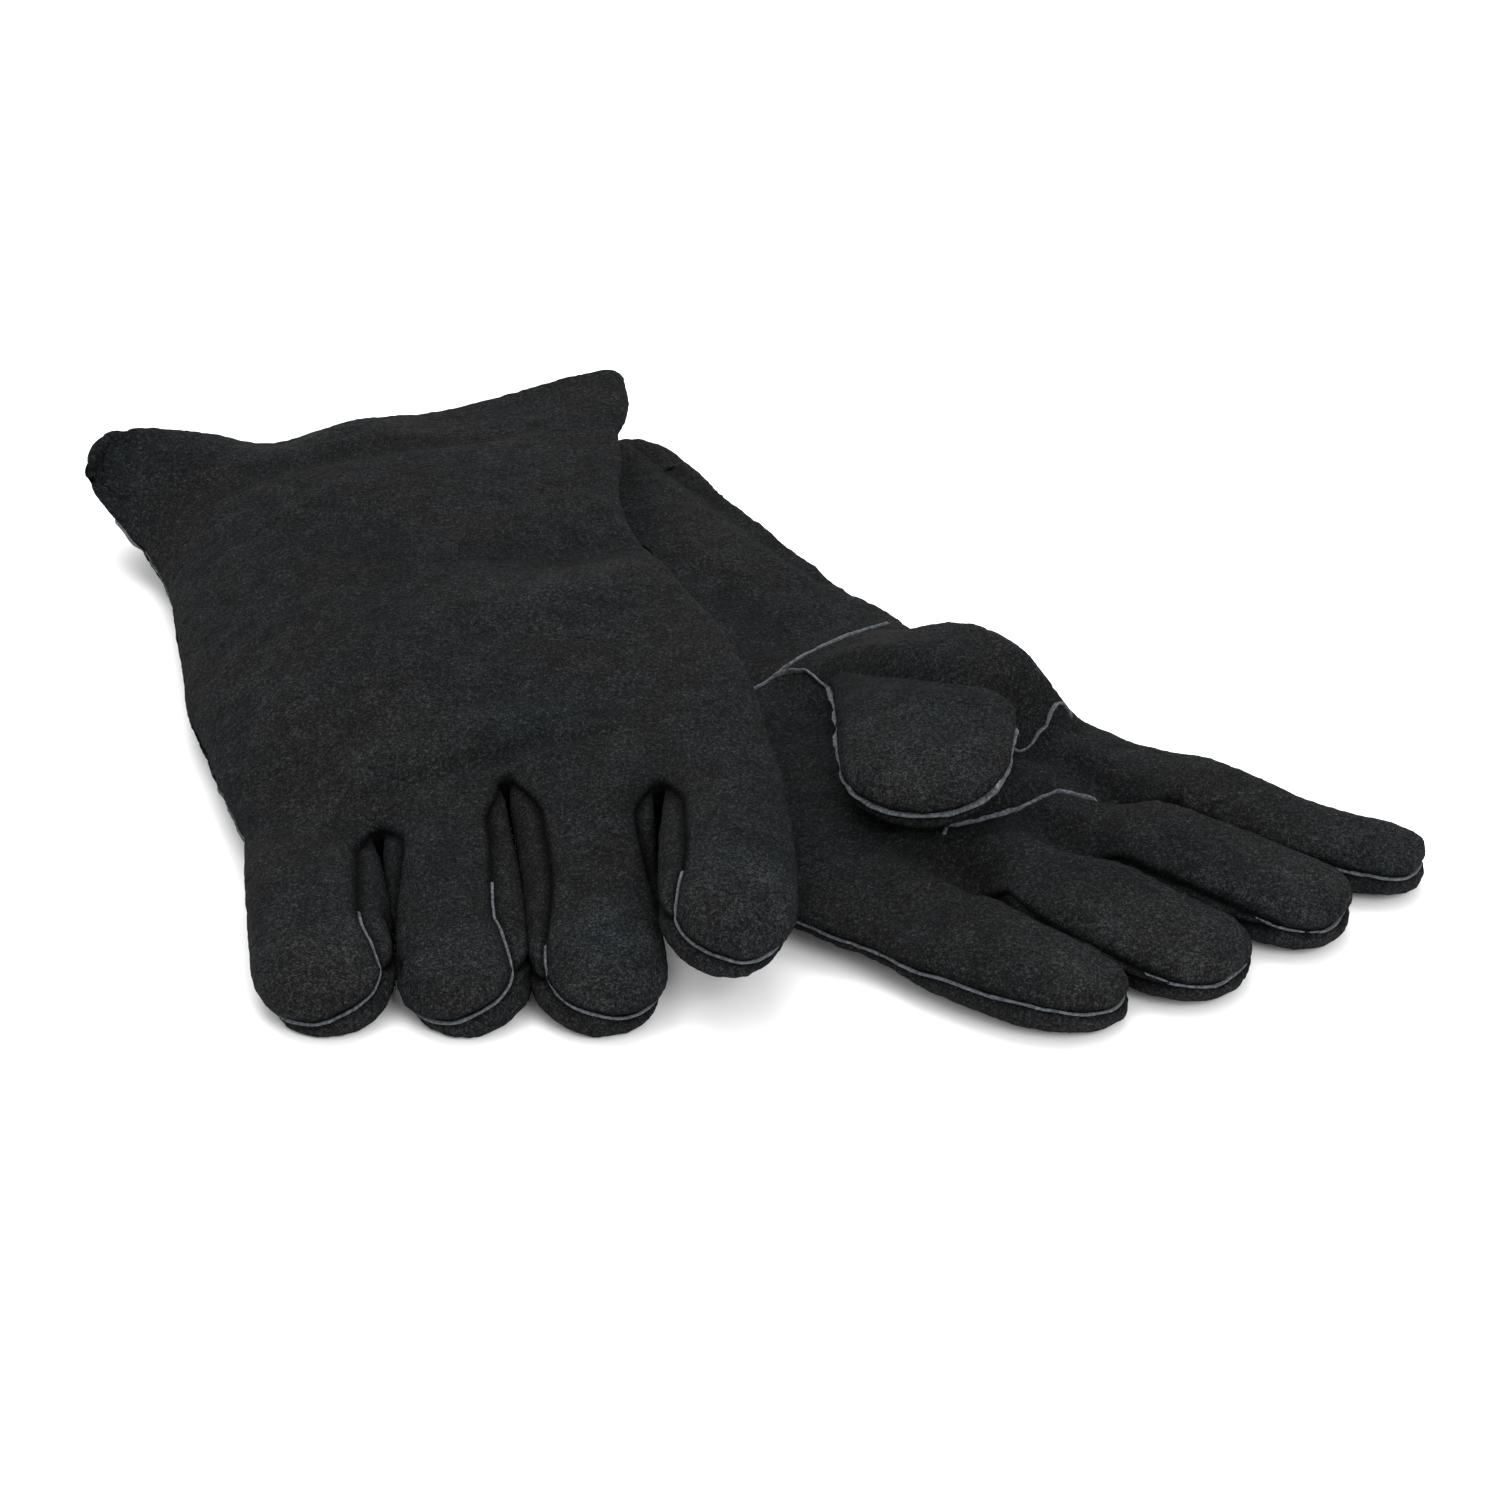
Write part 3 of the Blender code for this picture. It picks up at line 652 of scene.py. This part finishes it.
def finger_loops(glove, number, last_row, numbers):
    """Rows of one finger, from its slice of the hand's last row to its tip."""
    count = len(last_row)
    a, b = numbers[number], numbers[number + 1]
    walled_right, walled_left = number > 0, number < len(FINGERS) - 1
    w = np.arange(1, WALL_COLUMNS)[:, None] / WALL_COLUMNS

    def wall(column):
        top, bottom = last_row[column], last_row[(count - column) % count]
        return top + (bottom - top) * w

    def around(top, left, under, right):
        """One loop from its four sides, without the walls that an outer finger lacks."""
        under = under[(0 if walled_left else 1):(None if walled_right else -1)]
        sides = ((top, True), (left, walled_left), (under, True), (right, walled_right))
        return np.concatenate([side for side, there in sides if there])
    top = last_row[a:b + 1]
    under = last_row[(count - np.arange(b, a - 1, -1)) % count]
    root = around(top, wall(b), under, wall(a)[::-1])

    stations = glove["fingers"][FINGERS[number]]
    left = (top[-1] + under[0]) / 2
    right = (top[0] + under[-1]) / 2
    centre = (left + right) / 2
    rise = (top[len(top) // 2] - under[len(under) // 2])[2] / 2
    trim = unit(right - left) * ROOT_GAP
    sections = [np.array((*(left + trim * walled_left), *(right - trim * walled_right),
                          rise, rise, 0, 0, 0, ROOT_SQUARE, FLOOR))]
    spots = [centre] + [np.array(station[0:3], float) for station in stations]
    for i, (x, y, z, width, tall) in enumerate(stations):
        direction = spots[min(i + 2, len(spots) - 1)] - spots[i]
        sections.append(across_section(np.array((x, y, z), float), width, tall, direction))
    rows, at = stalled(sections, blunt=glove["blunt"], cap=glove["cap"])
    total = at[-1]
    opening = glove["wall"] * np.sqrt(np.clip(1 - at / (WALL_TAPER * total), 0, 1))
    wr, wl = opening * walled_right, opening * walled_left

    def share(points):
        run = lengths(points)
        return run / run[-1]
    f, g = share(top), share(under)
    angle_rows = [around(r + (math.pi - l - r) * f, math.pi - l + 2 * l * w[:, 0],
                         math.pi + l + (math.pi - l - r) * g, 2 * math.pi - r + 2 * r * w[:, 0])
                  for r, l in zip(wr, wl)]
    roll = glove["roll"][number] * np.interp(at / total, *ROLL)
    target = ring(rows, np.array(angle_rows) + roll[:, None])
    across, back = axes(rows[:, 0:3], rows[:, 3:6])
    up = np.cross(across, -back)
    up *= np.sign(up[:, 2:3])
    middle = middles(rows)
    local = root - centre
    wide = np.linalg.norm(rows[:, 3:6] - rows[:, 0:3], axis=1)
    narrow = wide / np.linalg.norm(right - left)
    narrow = 1 + (narrow - 1) * smooth(at / NARROWING)
    carried = (middle[:, None, :]
               + across[:, None, :] * ((local @ across[0])[None, :] * narrow[:, None])[..., None]
               + up[:, None, :] * (local @ up[0])[None, :, None]
               + back[:, None, :] * (local @ back[0])[None, :, None])
    share_of = smooth(at / glove["morph"])[:, None, None]
    loops = carried * (1 - share_of) + target * share_of
    loops[0] = root
    loops[..., 2] = np.maximum(loops[..., 2], FLOOR)
    kinds = (["top"] * (b - a) + ["left"] * WALL_COLUMNS * walled_left
             + ["bottom"] * (b - a) + ["right"] * WALL_COLUMNS * walled_right)
    return loops, kinds, at


def glove_skin(glove):
    """The whole glove but its thumb, as one welded skin with labels."""
    palm_up = glove["palm_up"]
    top_angles, numbers = split_angles(glove)
    grid, mouth, hem, places = hand_grid(glove, top_angles)
    half = numbers[-1]
    skin = Skin()
    wrist_row = mouth + int(np.searchsorted(places, glove["wrist"]))

    def hand_label(i, j):
        upside = j < half
        palm = np.where(i < wrist_row, "cuff_front", "palm_panel")
        return np.where(upside == palm_up, palm, "back_panel")
    hand_index = skin.add(grid, hand_label, closed=True)
    top_side, under_side = ("_front", "_back") if palm_up else ("_back", "_front")
    finger_index = {}
    for number, finger in enumerate(FINGERS):
        loops, kinds, at = finger_loops(glove, number, grid[-1], numbers)
        names = {"top": finger + top_side, "bottom": finger + under_side,
                 "left": finger + "_fourchette_little_side",
                 "right": finger + "_fourchette_index_side"}
        names = np.array([names[kind] for kind in kinds], dtype=object)
        index = skin.add(loops, lambda i, j, names=names: names[j], closed=True)
        skin.cap(loops[-1], lambda i, j, names=names: names[j])
        finger_index[finger] = (index, kinds, at)
    points, faces, labels = skin.weld()
    for key, (index, kinds, at) in finger_index.items():
        finger_index[key] = (skin.index[index], kinds, at)
    return {"points": points, "faces": faces, "labels": labels, "hand": skin.index[hand_index],
            "fingers": finger_index, "mouth": mouth, "hem": hem, "wrist": wrist_row, "half": half,
            "numbers": numbers}


def seam_vertices(skin):
    """Vertices where leather pieces are sewn together: not those at the finger roots."""
    faces, labels = skin["faces"], skin["labels"]
    group = np.array([piece_group(label) for label in labels])
    _, code = np.unique(group, return_inverse=True)
    low = np.full(len(skin["points"]), 99)
    high = np.full(len(skin["points"]), -1)
    for k in range(4):
        np.minimum.at(low, faces[:, k], code)
        np.maximum.at(high, faces[:, k], code)
    return np.where(low != high)[0]


def piece_group(label):
    """Pieces cut from one leather panel share a group."""
    if label.endswith("_back") or label == "back_panel":
        return "back"
    if label.endswith("_front") or label == "palm_panel":
        return "palm"
    return label


# ---------------------------------------------------------------- the shape of the leather

MOUND_EDGE = np.array((62.0, 6.0))      # a point of the lower glove's index edge at the thumb
MOUND_ALONG = np.array((0.62, -0.785))  # along that edge, towards the fingers
MOUND_HEIGHT = 28.0


def from_mound_edge(points):
    """Distance in from the mound's edge, and along it."""
    inward = np.array((-MOUND_ALONG[1], MOUND_ALONG[0])) * -1
    offset = points[:, :2] - MOUND_EDGE
    return offset @ inward, offset @ MOUND_ALONG


def mound(points):
    """Height of the lower glove's thumb base over the palm."""
    e, f = from_mound_edge(points)
    along = np.interp(f, (-32, -20, -8, 8, 25, 38, 48, 58, 64, 68, 72),
                      (0, .08, .25, .58, .86, .97, 1, .95, .76, .38, 0))
    over = np.sin(np.clip(e / 24, 0, 1) * math.pi / 2) ** 1.1
    front = 1 - smooth((e - 40) / 26)
    return MOUND_HEIGHT * along * over * front


def in_mound(centres):
    e, f = from_mound_edge(centres)
    return (f > -22 + 0.12 * e) & (f < 72) & (e < 62)


def texture(points, distance, seed, swells, pucker):
    """Height of the waves, given as (height, size) pairs, and of all that stands on the leather."""
    waves = sum(height * noise(points, size, seed + k) for k, (height, size) in enumerate(swells))
    height, size = pucker
    puckers = height * noise(points, size, seed + 2) * np.exp(-(distance / PUCKER_REACH) ** 2)
    grooves = -sum(depth * np.exp(-(distance / width) ** 2) for depth, width in GROOVES)
    nap = sum(height * noise(points, size, seed + 3 + k) for k, (height, size) in enumerate(NAP))
    return waves, waves + puckers + grooves + nap


def shaped(glove, skin):
    """Softens the forks, raises the thumb base, and gives the leather its waves, seams and nap."""
    points, faces = skin["points"], skin["faces"]
    last_row = points[skin["hand"][-1]]
    count = len(last_row)
    crotch = []
    for column in skin["numbers"][1:-1]:
        top, bottom = last_row[column], last_row[(count - column) % count]
        crotch += [top + (bottom - top) * t for t in np.linspace(0, 1, 7)]
    near_fork, _ = distance_to(points, crotch)
    near_root, _ = distance_to(points, last_row[::3])
    soft, radius = glove["soft"]
    weight = np.maximum(smooth(1.15 - near_fork / radius), soft * smooth(1.1 - near_root / 12))
    points = relaxed(points, faces, np.maximum(weight, 0.1), 14)
    normals = vertex_normals(points, faces)
    if glove["palm_up"]:
        topside = smooth(normals[:, 2] * 1.5 + 0.3)
        points = points + np.outer(mound(points) * (points[:, 2] > 9) * topside, (0, 0, 1))
        normals = vertex_normals(points, faces)
    plain = points
    points = valleys(glove, skin, points)
    for fold in FOLDS[glove["name"]]:
        points = folded(points, normals, *fold)
    normals = vertex_normals(points, faces)
    seams = points[seam_vertices(skin)]
    distance, _ = distance_to(points, seams)
    hem_end = skin["mouth"] + skin["hem"]
    distance[skin["hand"][:hem_end]] = 99.0
    for step in range(SEAM_FADE):
        distance[skin["hand"][hem_end + step]] += SEAM_SINK * (1 - step / SEAM_FADE)
    seed = 3 if glove["palm_up"] else 11
    waves, height = texture(points, distance, seed, ((0.9, 38), (0.45, 17)), (0.5, 6.5))
    relief = ((points - plain) * normals).sum(axis=1) + waves
    points = points + normals * height[:, None]
    rows, mouth = skin["hand"], skin["mouth"]
    partner = np.concatenate([rows[mouth:mouth + skin["hem"]][::-1],
                              np.repeat(rows[mouth:mouth + 1], mouth - skin["hem"], axis=0)])
    inner = rows[:mouth].reshape(-1)
    points[inner] = skin["points"][inner] + (points - skin["points"])[partner.reshape(-1)]
    points[:, 2] = np.maximum(points[:, 2], FLOOR)
    skin["points"] = points
    skin["normals"] = vertex_normals(points, faces)
    skin["distance"] = distance
    # relief and distance from the tips set the painted highlight
    skin["relief"] = np.clip(relief, -RELIEF_LIMIT, RELIEF_LIMIT)
    tips = np.concatenate([points[index[-14::4]].reshape(-1, 3)
                           for index, _, _ in skin["fingers"].values()])
    skin["tip_distance"], _ = distance_to(points, tips)


def valleys(glove, skin, points):
    """Draws the upper side of the hand down towards each fork."""
    depth, width, length = glove["valley"]
    points = points.copy()
    for column in skin["numbers"][1:-1]:
        path = points[skin["hand"][-int(length / STEP):, column]]
        near = np.where((np.abs(points - path.mean(0)) < length + 2 * width).all(axis=1))[0]
        away, nearest = distance_to(points[near], path)
        share = smooth(nearest / (len(path) - 1)) * np.exp(-(away / width) ** 2)
        points[near, 2] -= depth * share * smooth((points[near, 2] - 7) / 9)
    return points


def folded(points, normals, line, width, height, ends=None):
    """Presses a crease (height below zero) or raises a ridge along a line of (x, y).

    It fades towards both ends, unless shares of its height at the ends are given.
    """
    line = np.asarray(line, float)
    run = lengths(line)
    fine = np.linspace(0, run[-1], max(int(run[-1] / 1.5), 2))
    path = np.stack([np.interp(fine, run, line[:, k]) for k in (0, 1)], axis=1)
    low, high = path.min(0) - 3 * width, path.max(0) + 3 * width
    near = (points[:, :2] > low).all(1) & (points[:, :2] < high).all(1)
    chosen = np.where(near & (normals[:, 2] > 0.1))[0]
    if not len(chosen):
        return points
    offset = points[chosen, None, :2] - path[None]
    squared = (offset ** 2).sum(-1)
    nearest = squared.argmin(1)
    t = nearest / (len(path) - 1)
    fade = np.interp(t, (0, 1), ends) if ends else np.sin(np.clip(t, 0, 1) * math.pi) ** 0.5
    amount = height * fade * np.exp(-squared.min(1) / width ** 2)
    points = points.copy()
    points[chosen] += normals[chosen] * amount[:, None]
    return points


# Creases and ridges of each glove: line of (x, y), width, height, and shares of it at the two ends.
FOLDS = {
    "upper": (
        (((-30, 5), (-55, -18), (-88, -30)), 14, 3.8),
        (((-30, 32), (-62, 16), (-102, 10)), 13, -3.3),
        (((-150, 60), (-122, 20), (-105, -25)), 16, -2.7),
        (((-122, -113), (-90, -105), (-60, -98), (-26, -96)), 3.5, -1.8),
        (((-125, -99), (-88, -91), (-50, -83)), 9, 2.2),
        (((-196, 90), (-150, 96), (-105, 108), (-62, 126)), 7, -2.4),
        (((-168, -20), (-150, -50), (-140, -90)), 12, 2.4),
    ),
    "lower": (
        (((-39, 160), (-14, 118), (0, 93), (13, 71), (25, 56)), 4, -2.7, (1, 0.7)),
        (((50, -117), (63, -112), (80, -102), (93, -93), (107, -99)), 3, -2.4),
        (((66, -101), (80, -94), (90, -86)), 6, 1.8),
        (((78, -70), (96, -74), (108, -80)), 4, -2.4),
        (((82, -108), (90, -112), (98, -118)), 4, -1.8),
        (((66, -122), (82, -131), (96, -142)), 9, 2.2),
        (((56, -127), (63, -133), (70, -141)), 4, -2.2),
        (((-20, 60), (5, 20), (10, -5)), 10, -2.0),
        (((-10, 40), (-20, 90), (-40, 130)), 12, 1.8),
    ),
}
# Welts that lie on the lower glove's palm, as lines of (x, y).
PALM_WELTS = (
    ((57, -114), (63, -112), (72, -109), (80, -103), (87, -99), (93, -93), (98, -94), (106, -99)),
    ((59, -113), (58, -117), (57.5, -121)),
    ((76, -71), (84, -69), (90, -62), (97, -50), (101, -53)),
    ((5, -19), (12, -18), (18, -22), (21, -29), (25, -37)),
)


# ---------------------------------------------------------------- pieces

def painted_light_of(skin, used):
    """Vertex values that the leather's material reads, for the outer and the inner face: painted shade near
    the seams, and painted highlight at the finger tips and on raised leather.
    """
    # painted shade near the seams
    seam = np.exp(-(skin["distance"][used] / SEAM_SHADE) ** 2)
    # painted highlight at the finger tips and on raised leather
    tip = np.exp(-(np.maximum(skin["tip_distance"][used] - 5, 0) / 11) ** 2)
    nap = tip + PAINTED_RELIEF_HIGHLIGHT * skin["relief"][used]
    return {"seam": np.tile(seam, 2), "nap": np.tile(nap, 2)}


def leather_kind(label):
    if "fourchette" in label:
        return "fourchette_leather"
    if label.endswith("_front") and label != "cuff_front" or label == "palm_panel":
        return "palm_leather"
    return "leather"


def leather_piece(glove, skin, label, thickness, joined):
    """The object for one label."""
    name = "%s_%s" % (glove["name"], label)
    used, faces = part_of(skin, label)
    solid = thickened(skin["points"][used], faces, skin["normals"][used], thickness)
    kind = leather_kind(label)
    thing = mesh_object(name, *solid[:2], kind, solid[2], painted_light_of(skin, used))
    finish_piece(thing, name, joined)


def leather_pieces(glove, skin):
    """One object for each label, on the hand's body, or for a finger's pieces left in place with no parent.
    """
    for label in sorted(set(skin["labels"])):
        finger = label.split("_")[0]
        joined = ()
        if finger in skin["fingers"]:
            joined = ("%s_%s" % (glove["name"], finger), *bend_zone(skin, finger))
        leather_piece(glove, skin, label, LEATHER, joined)


def bend_zone(skin, finger):
    """Where a finger's leather starts to bend with its joint, and where it has bent fully."""
    index, _, _ = skin["fingers"][finger]
    root = skin["points"][index[0]]
    ahead = skin["points"][index[min(len(index) - 1, int(BEND_SIGHT / STEP))]]
    direction = ahead.mean(0) - root.mean(0)
    direction[2] = 0
    direction = unit(direction)
    reach = (root - root.mean(0)) @ direction
    start = root.mean(0) + direction * (reach.max() + 0.3)
    return [tuple(place(start + direction * d)) for d in (0.0, BEND)]


def finish_piece(thing, cad_node, joined=()):
    """Puts a piece in the place of a CAD node: on its glove's hand, or, where it is joined, with its
    transform baked and no parent.

    joined holds the far body and the two ends of the bend; these are not used, only whether joined is given.
    """
    hand = cad_node.split("_")[0] + "_hand"
    if joined:
        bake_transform(thing)
    else:
        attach(thing, hand)
    thing.name = "skin_" + cad_node
    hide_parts(cad_node)


def spread(path, spacing, *values):
    """Path and values along it at an even spacing."""
    run = lengths(path)
    at = np.linspace(0, run[-1], max(int(run[-1] / spacing), 2) + 1)
    return [np.stack([np.interp(at, run, value[:, k]) for k in range(3)], axis=1)
            for value in (path, *values)]


def eased(path, rounds):
    path = np.array(path, float)
    for _ in range(rounds):
        path[1:-1] = (path[:-2] + 2 * path[1:-1] + path[2:]) / 4
    return path


# Outline of a welt: shares of its half width and of its height, None being the buried foot.
WELT_PROFILE = ((-1, None), (-1, 0.62), (-0.75, 0.9), (-0.2, 1.0), (0.3, 0.97), (0.8, 0.85),
                (1, 0.6), (1, None))


def welt_mesh(name, path, outward, seed, proud=0.9, half=0.46, buried=1.8):
    """A folded strip of leather that stands out of a seam, with an uneven cut edge."""
    path, outward = spread(eased(path, 3), 1.0, np.array(outward, float))
    outward = unit(eased(outward, 8))
    tangent = unit(np.gradient(path, axis=0))
    side = unit(np.cross(tangent, outward))
    outward = unit(np.cross(side, tangent))
    n = len(path)
    run = lengths(path)
    spots = np.stack([run, 0 * run, 0 * run], axis=1)
    wobble = 0.28 * noise(spots, 7.0, seed) + 0.12 * noise(spots, 2.5, seed + 1)
    height = proud * (1 + 0.35 * noise(spots, 9.0, seed + 2) + 0.2 * noise(spots, 2.2, seed + 3))
    width = half * (1 + 0.25 * noise(spots, 3.5, seed + 4))
    ends = np.minimum(np.arange(n), np.arange(n)[::-1])
    taper = smooth(ends / 3.0)
    height = height * taper - buried * (1 - taper)
    grid = []
    for across, up in WELT_PROFILE:
        level = np.full(n, -buried) if up is None else -0.2 + (height + 0.2) * up
        grid.append(path + side * (across * width + wobble)[:, None] + outward * level[:, None])
    grid = np.stack(grid, axis=1)
    skin = Skin()
    skin.add(grid, "welt", closed=True)
    skin.cap(grid[0], "welt", flipped=True)
    skin.cap(grid[-1], "welt")
    points, faces, _ = skin.weld()
    return mesh_object(name, points, faces, "welt")


def lowered(path, normals):
    """The path against the lower side of its groove, where the seam faces the near side."""
    sideways = np.maximum(1 - 1.4 * np.abs(normals[:, 2]), 0) * np.clip(-1.3 * normals[:, 1], 0, 1)
    return path - np.outer(WELT_DROP * sideways, (0, 0, 1))


def welts(glove, skin):
    """The strips along the little finger's side, the cuff's seam and the fingertips."""
    name, points, normals = glove["name"], skin["points"], skin["normals"]
    hand, half = skin["hand"], skin["half"]
    seed = 100 if glove["palm_up"] else 300
    index, kinds, _ = skin["fingers"]["little"]
    start = skin["mouth"] + skin["hem"] + 2
    side = np.concatenate([hand[start:, half], index[1:6, kinds.count("top")]])
    thing = welt_mesh(name + "_side", lowered(points[side], normals[side]), normals[side], seed)
    finish_piece(thing, name + "_side_welt")
    row = hand[skin["wrist"]]
    columns = np.arange(4, half - 3) if glove["palm_up"] else np.arange(half + 4, len(row) - 3)
    if glove["palm_up"]:
        columns = columns[points[row[columns], 0] < CUFF_WELT_END]
    thing = welt_mesh(name + "_cuff", points[row[columns]], normals[row[columns]], seed + 10)
    finish_piece(thing, name + "_cuff_welt")
    for number, finger in enumerate(FINGERS):
        index, kinds, at = skin["fingers"][finger]
        corner = kinds.count("top")
        out, home = (int(np.searchsorted(at, start * at[-1])) for start in glove["welts"][number])
        path = np.concatenate([index[out:, corner], index[home:, 0][::-1]])
        low = lowered(points[path], normals[path])
        thing = welt_mesh("%s_%s_tip" % (name, finger), low, normals[path], seed + 20 + 7 * number)
        joined = ("%s_%s" % (name, finger), *bend_zone(skin, finger))
        finish_piece(thing, "%s_%s_tip_welt" % (name, finger), joined)


def palm_welts(glove, skin):
    """Strips along seams inside the palm, laid on the top of the skin."""
    name, points, normals = glove["name"], skin["points"], skin["normals"]
    chosen = np.where(normals[:, 2] > 0.1)[0]
    flat = points[chosen] * (1, 1, 0)
    for number, line in enumerate(PALM_WELTS):
        corners = np.array([(x, y, 0.0) for x, y in line])
        path = spread(corners, 1.0)[0]
        found = chosen[distance_to(path, flat)[1]]
        path[:, 2] = points[found, 2]
        thing = welt_mesh("%s_palm_welt_%d" % (name, number), path, normals[found], 500 + 9 * number,
                          proud=1.2)
        thing.name = "skin_%s_palm_welt_%d" % (name, number)
        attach(thing, name + "_hand")


def tube_piece(name, outer, inner, kind, columns, joined=(), pushes=()):
    """Open tube with thickness, such as a lining."""
    angles = np.linspace(0, 2 * math.pi, columns, endpoint=False)
    skins = [ring(rows, angles) for rows in (outer, inner)]
    loop = np.concatenate([skins[0], skins[1][::-1], skins[0][:1]])
    skin = Skin()
    skin.add(loop, name, closed=True)
    points, faces, _ = skin.weld()
    normals = vertex_normals(points, faces)
    points = nudged(points + normals * (0.25 * noise(points, 4.0, 5))[:, None], pushes)
    finish_piece(mesh_object(name, points, faces, kind), name, joined)


def linings(glove):
    """The fleece of the hand and the cotton of the cuff."""
    name, rows = glove["name"], glove["hand"]
    last = len(rows) - 1
    wrist = glove["wrist"]
    parts = (("hand_lining", wrist + LINING_GAP, last - HAND_LINING_SHORT, "fleece", 6.0),
             ("cuff_lining", CUFF_LINING_START, wrist - LINING_GAP, "cotton", 6.2))
    for part, first, end, kind, depth in parts:
        sections = spline(rows, np.linspace(first, end, 60))
        tube_piece("%s_%s" % (name, part), inset(sections, depth), inset(sections, depth + LINING), kind,
                   160, pushes=NUDGES[name])


def stall_skin(sections, columns, names, seed):
    """A thumb: closed tube with a round tip, a seam along both edges."""
    rows, at = stalled(sections)
    angles = np.linspace(0, 2 * math.pi, 2 * columns, endpoint=False)
    loops = ring(rows, angles)
    label = np.array([names[0]] * columns + [names[1]] * columns, dtype=object)
    skin = Skin()
    index = skin.add(loops, lambda i, j: label[j], closed=True)
    skin.cap(loops[-1], lambda i, j: label[j])
    points, faces, labels = skin.weld()
    made = {"points": points, "faces": faces, "labels": labels, "index": skin.index[index], "at": at,
            "columns": columns}
    normals = vertex_normals(points, faces)
    seams = points[np.unique(made["index"][:, [0, columns]])]
    distance, _ = distance_to(points, seams)
    made["relief"], height = texture(points, distance, seed, ((0.8, 26), (0.35, 12)), (0.4, 6.0))
    made["points"] = points + normals * height[:, None]
    made["normals"] = vertex_normals(made["points"], faces)
    made["distance"] = distance
    made["tip_distance"], _ = distance_to(points, points[made["index"][-20::4]].reshape(-1, 3))
    return made


def thumb(glove, sections, names, seed, reach):
    """A thumb with its welt and lining. names are of its upper and under side."""
    name = glove["name"]
    skin = stall_skin(sections, 60, names, seed)
    first, last = (skin["points"][skin["index"][k]].mean(0) for k in (0, -1))
    direction = unit(last - first)
    joined = (name + "_thumb", *(tuple(place(first + direction * d)) for d in reach))
    for label in names:
        leather_piece(glove, skin, label, THUMB_LEATHER, joined)
    index, columns = skin["index"], skin["columns"]
    out, home = (int(len(skin["at"]) * share) for share in glove["welts"][-1])
    path = np.concatenate([index[out:, columns], index[home:, 0][::-1]])
    thing = welt_mesh(name + "_thumb", skin["points"][path], skin["normals"][path], seed + 50, proud=1.9)
    finish_piece(thing, name + "_thumb_welt", joined)
    rows = spline(sections, np.linspace(0.5, len(sections) - 1.4, 40))
    tube_piece(name + "_thumb_lining", inset(rows, 3.2), inset(rows, 4.4), "fleece", 72, joined)


def tucked_base(glove):
    """The base of the tucked thumb, drawn together where it is sewn into the palm."""
    rows = spline(stations_to_sections(TUCKED_BASE), np.linspace(0, len(TUCKED_BASE) - 1, 22))
    rows = narrowed(rows, np.sqrt(1 - np.clip(1 - np.arange(len(rows)) / 9, 0, 0.98) ** 2))
    name = glove["name"] + "_thumb_wing"
    tube_piece(name, rows, inset(rows, 1.8), "leather", 90)


def build_glove(glove):
    """Every piece of a glove but those of its thumb."""
    skin = glove_skin(glove)
    shaped(glove, skin)
    if glove["palm_up"]:
        centres = skin["points"][skin["faces"]].mean(axis=1)
        chosen = in_mound(centres) & (skin["labels"] == "palm_panel") & (centres[:, 2] > 10)
        skin["labels"][chosen] = "thumb_wing"
    leather_pieces(glove, skin)
    welts(glove, skin)
    if glove["palm_up"]:
        palm_welts(glove, skin)
    linings(glove)


build_glove(LOWER)
build_glove(UPPER)
thumb(LOWER, np.array(LOBE, float), ("thumb_back", "thumb_front"), 41, (6.0, 34.0))
thumb(UPPER, stations_to_sections(TUCKED), ("thumb_front", "thumb_back"), 61, (2.0, 14.0))
tucked_base(UPPER)


# ---------------------------------------------------------------- floor, light and camera

def floor():
    size = 6.0
    mesh = bpy.data.meshes.new("floor")
    corners = [(-size, -size, 0), (size, -size, 0), (size, size, 0), (-size, size, 0)]
    mesh.from_pydata(corners, [], [(0, 1, 2, 3)])
    thing = linked("floor", mesh)
    thing.location.z = -0.0002
    material = bpy.data.materials.new("paper")
    material.use_nodes = True
    shader = material.node_tree.nodes["Principled BSDF"]
    shader.inputs["Base Color"].default_value = (0.93, 0.93, 0.935, 1)
    shader.inputs["Roughness"].default_value = 0.8
    shader.inputs["Specular IOR Level"].default_value = 0.1
    mesh.materials.append(material)


def lamp(name, place_at, aim, size, power):
    light = bpy.data.lights.new(name, "AREA")
    light.shape = "RECTANGLE"
    light.size, light.size_y = size
    light.energy = power
    thing = linked(name, light)
    thing.location = place_at
    direction = Vector(aim) - Vector(place_at)
    thing.rotation_euler = direction.to_track_quat("-Z", "Y").to_euler()


def studio():
    floor()
    world = bpy.data.worlds.new("studio")
    bpy.context.scene.world = world
    world.use_nodes = True
    background = world.node_tree.nodes["Background"]
    background.inputs["Color"].default_value = (1, 1, 1, 1)
    background.inputs["Strength"].default_value = 1.15
    lamp("overhead", (-0.25, 0.75, 1.7), (0, 0, 0), (1.6, 1.2), 30.0)
    lamp("front", (0.9, -1.4, 1.2), (0, 0, 0), (1.2, 0.8), 20.0)
    bpy.context.scene.view_settings.view_transform = "Standard"


def camera():
    data = bpy.data.cameras.new("camera")
    data.lens, data.sensor_width = 103.2, 36.0
    data.shift_y = -0.0333
    data.clip_end = 50.0
    thing = linked("camera", data)
    tilt, distance = math.radians(29), 1.390
    aim = Vector(place((0, 0, 0)))
    thing.location = aim + Vector((0, -distance * math.cos(tilt), distance * math.sin(tilt)))
    thing.rotation_euler = (math.pi / 2 - tilt, 0, 0)
    bpy.context.scene.camera = thing


studio()
camera()
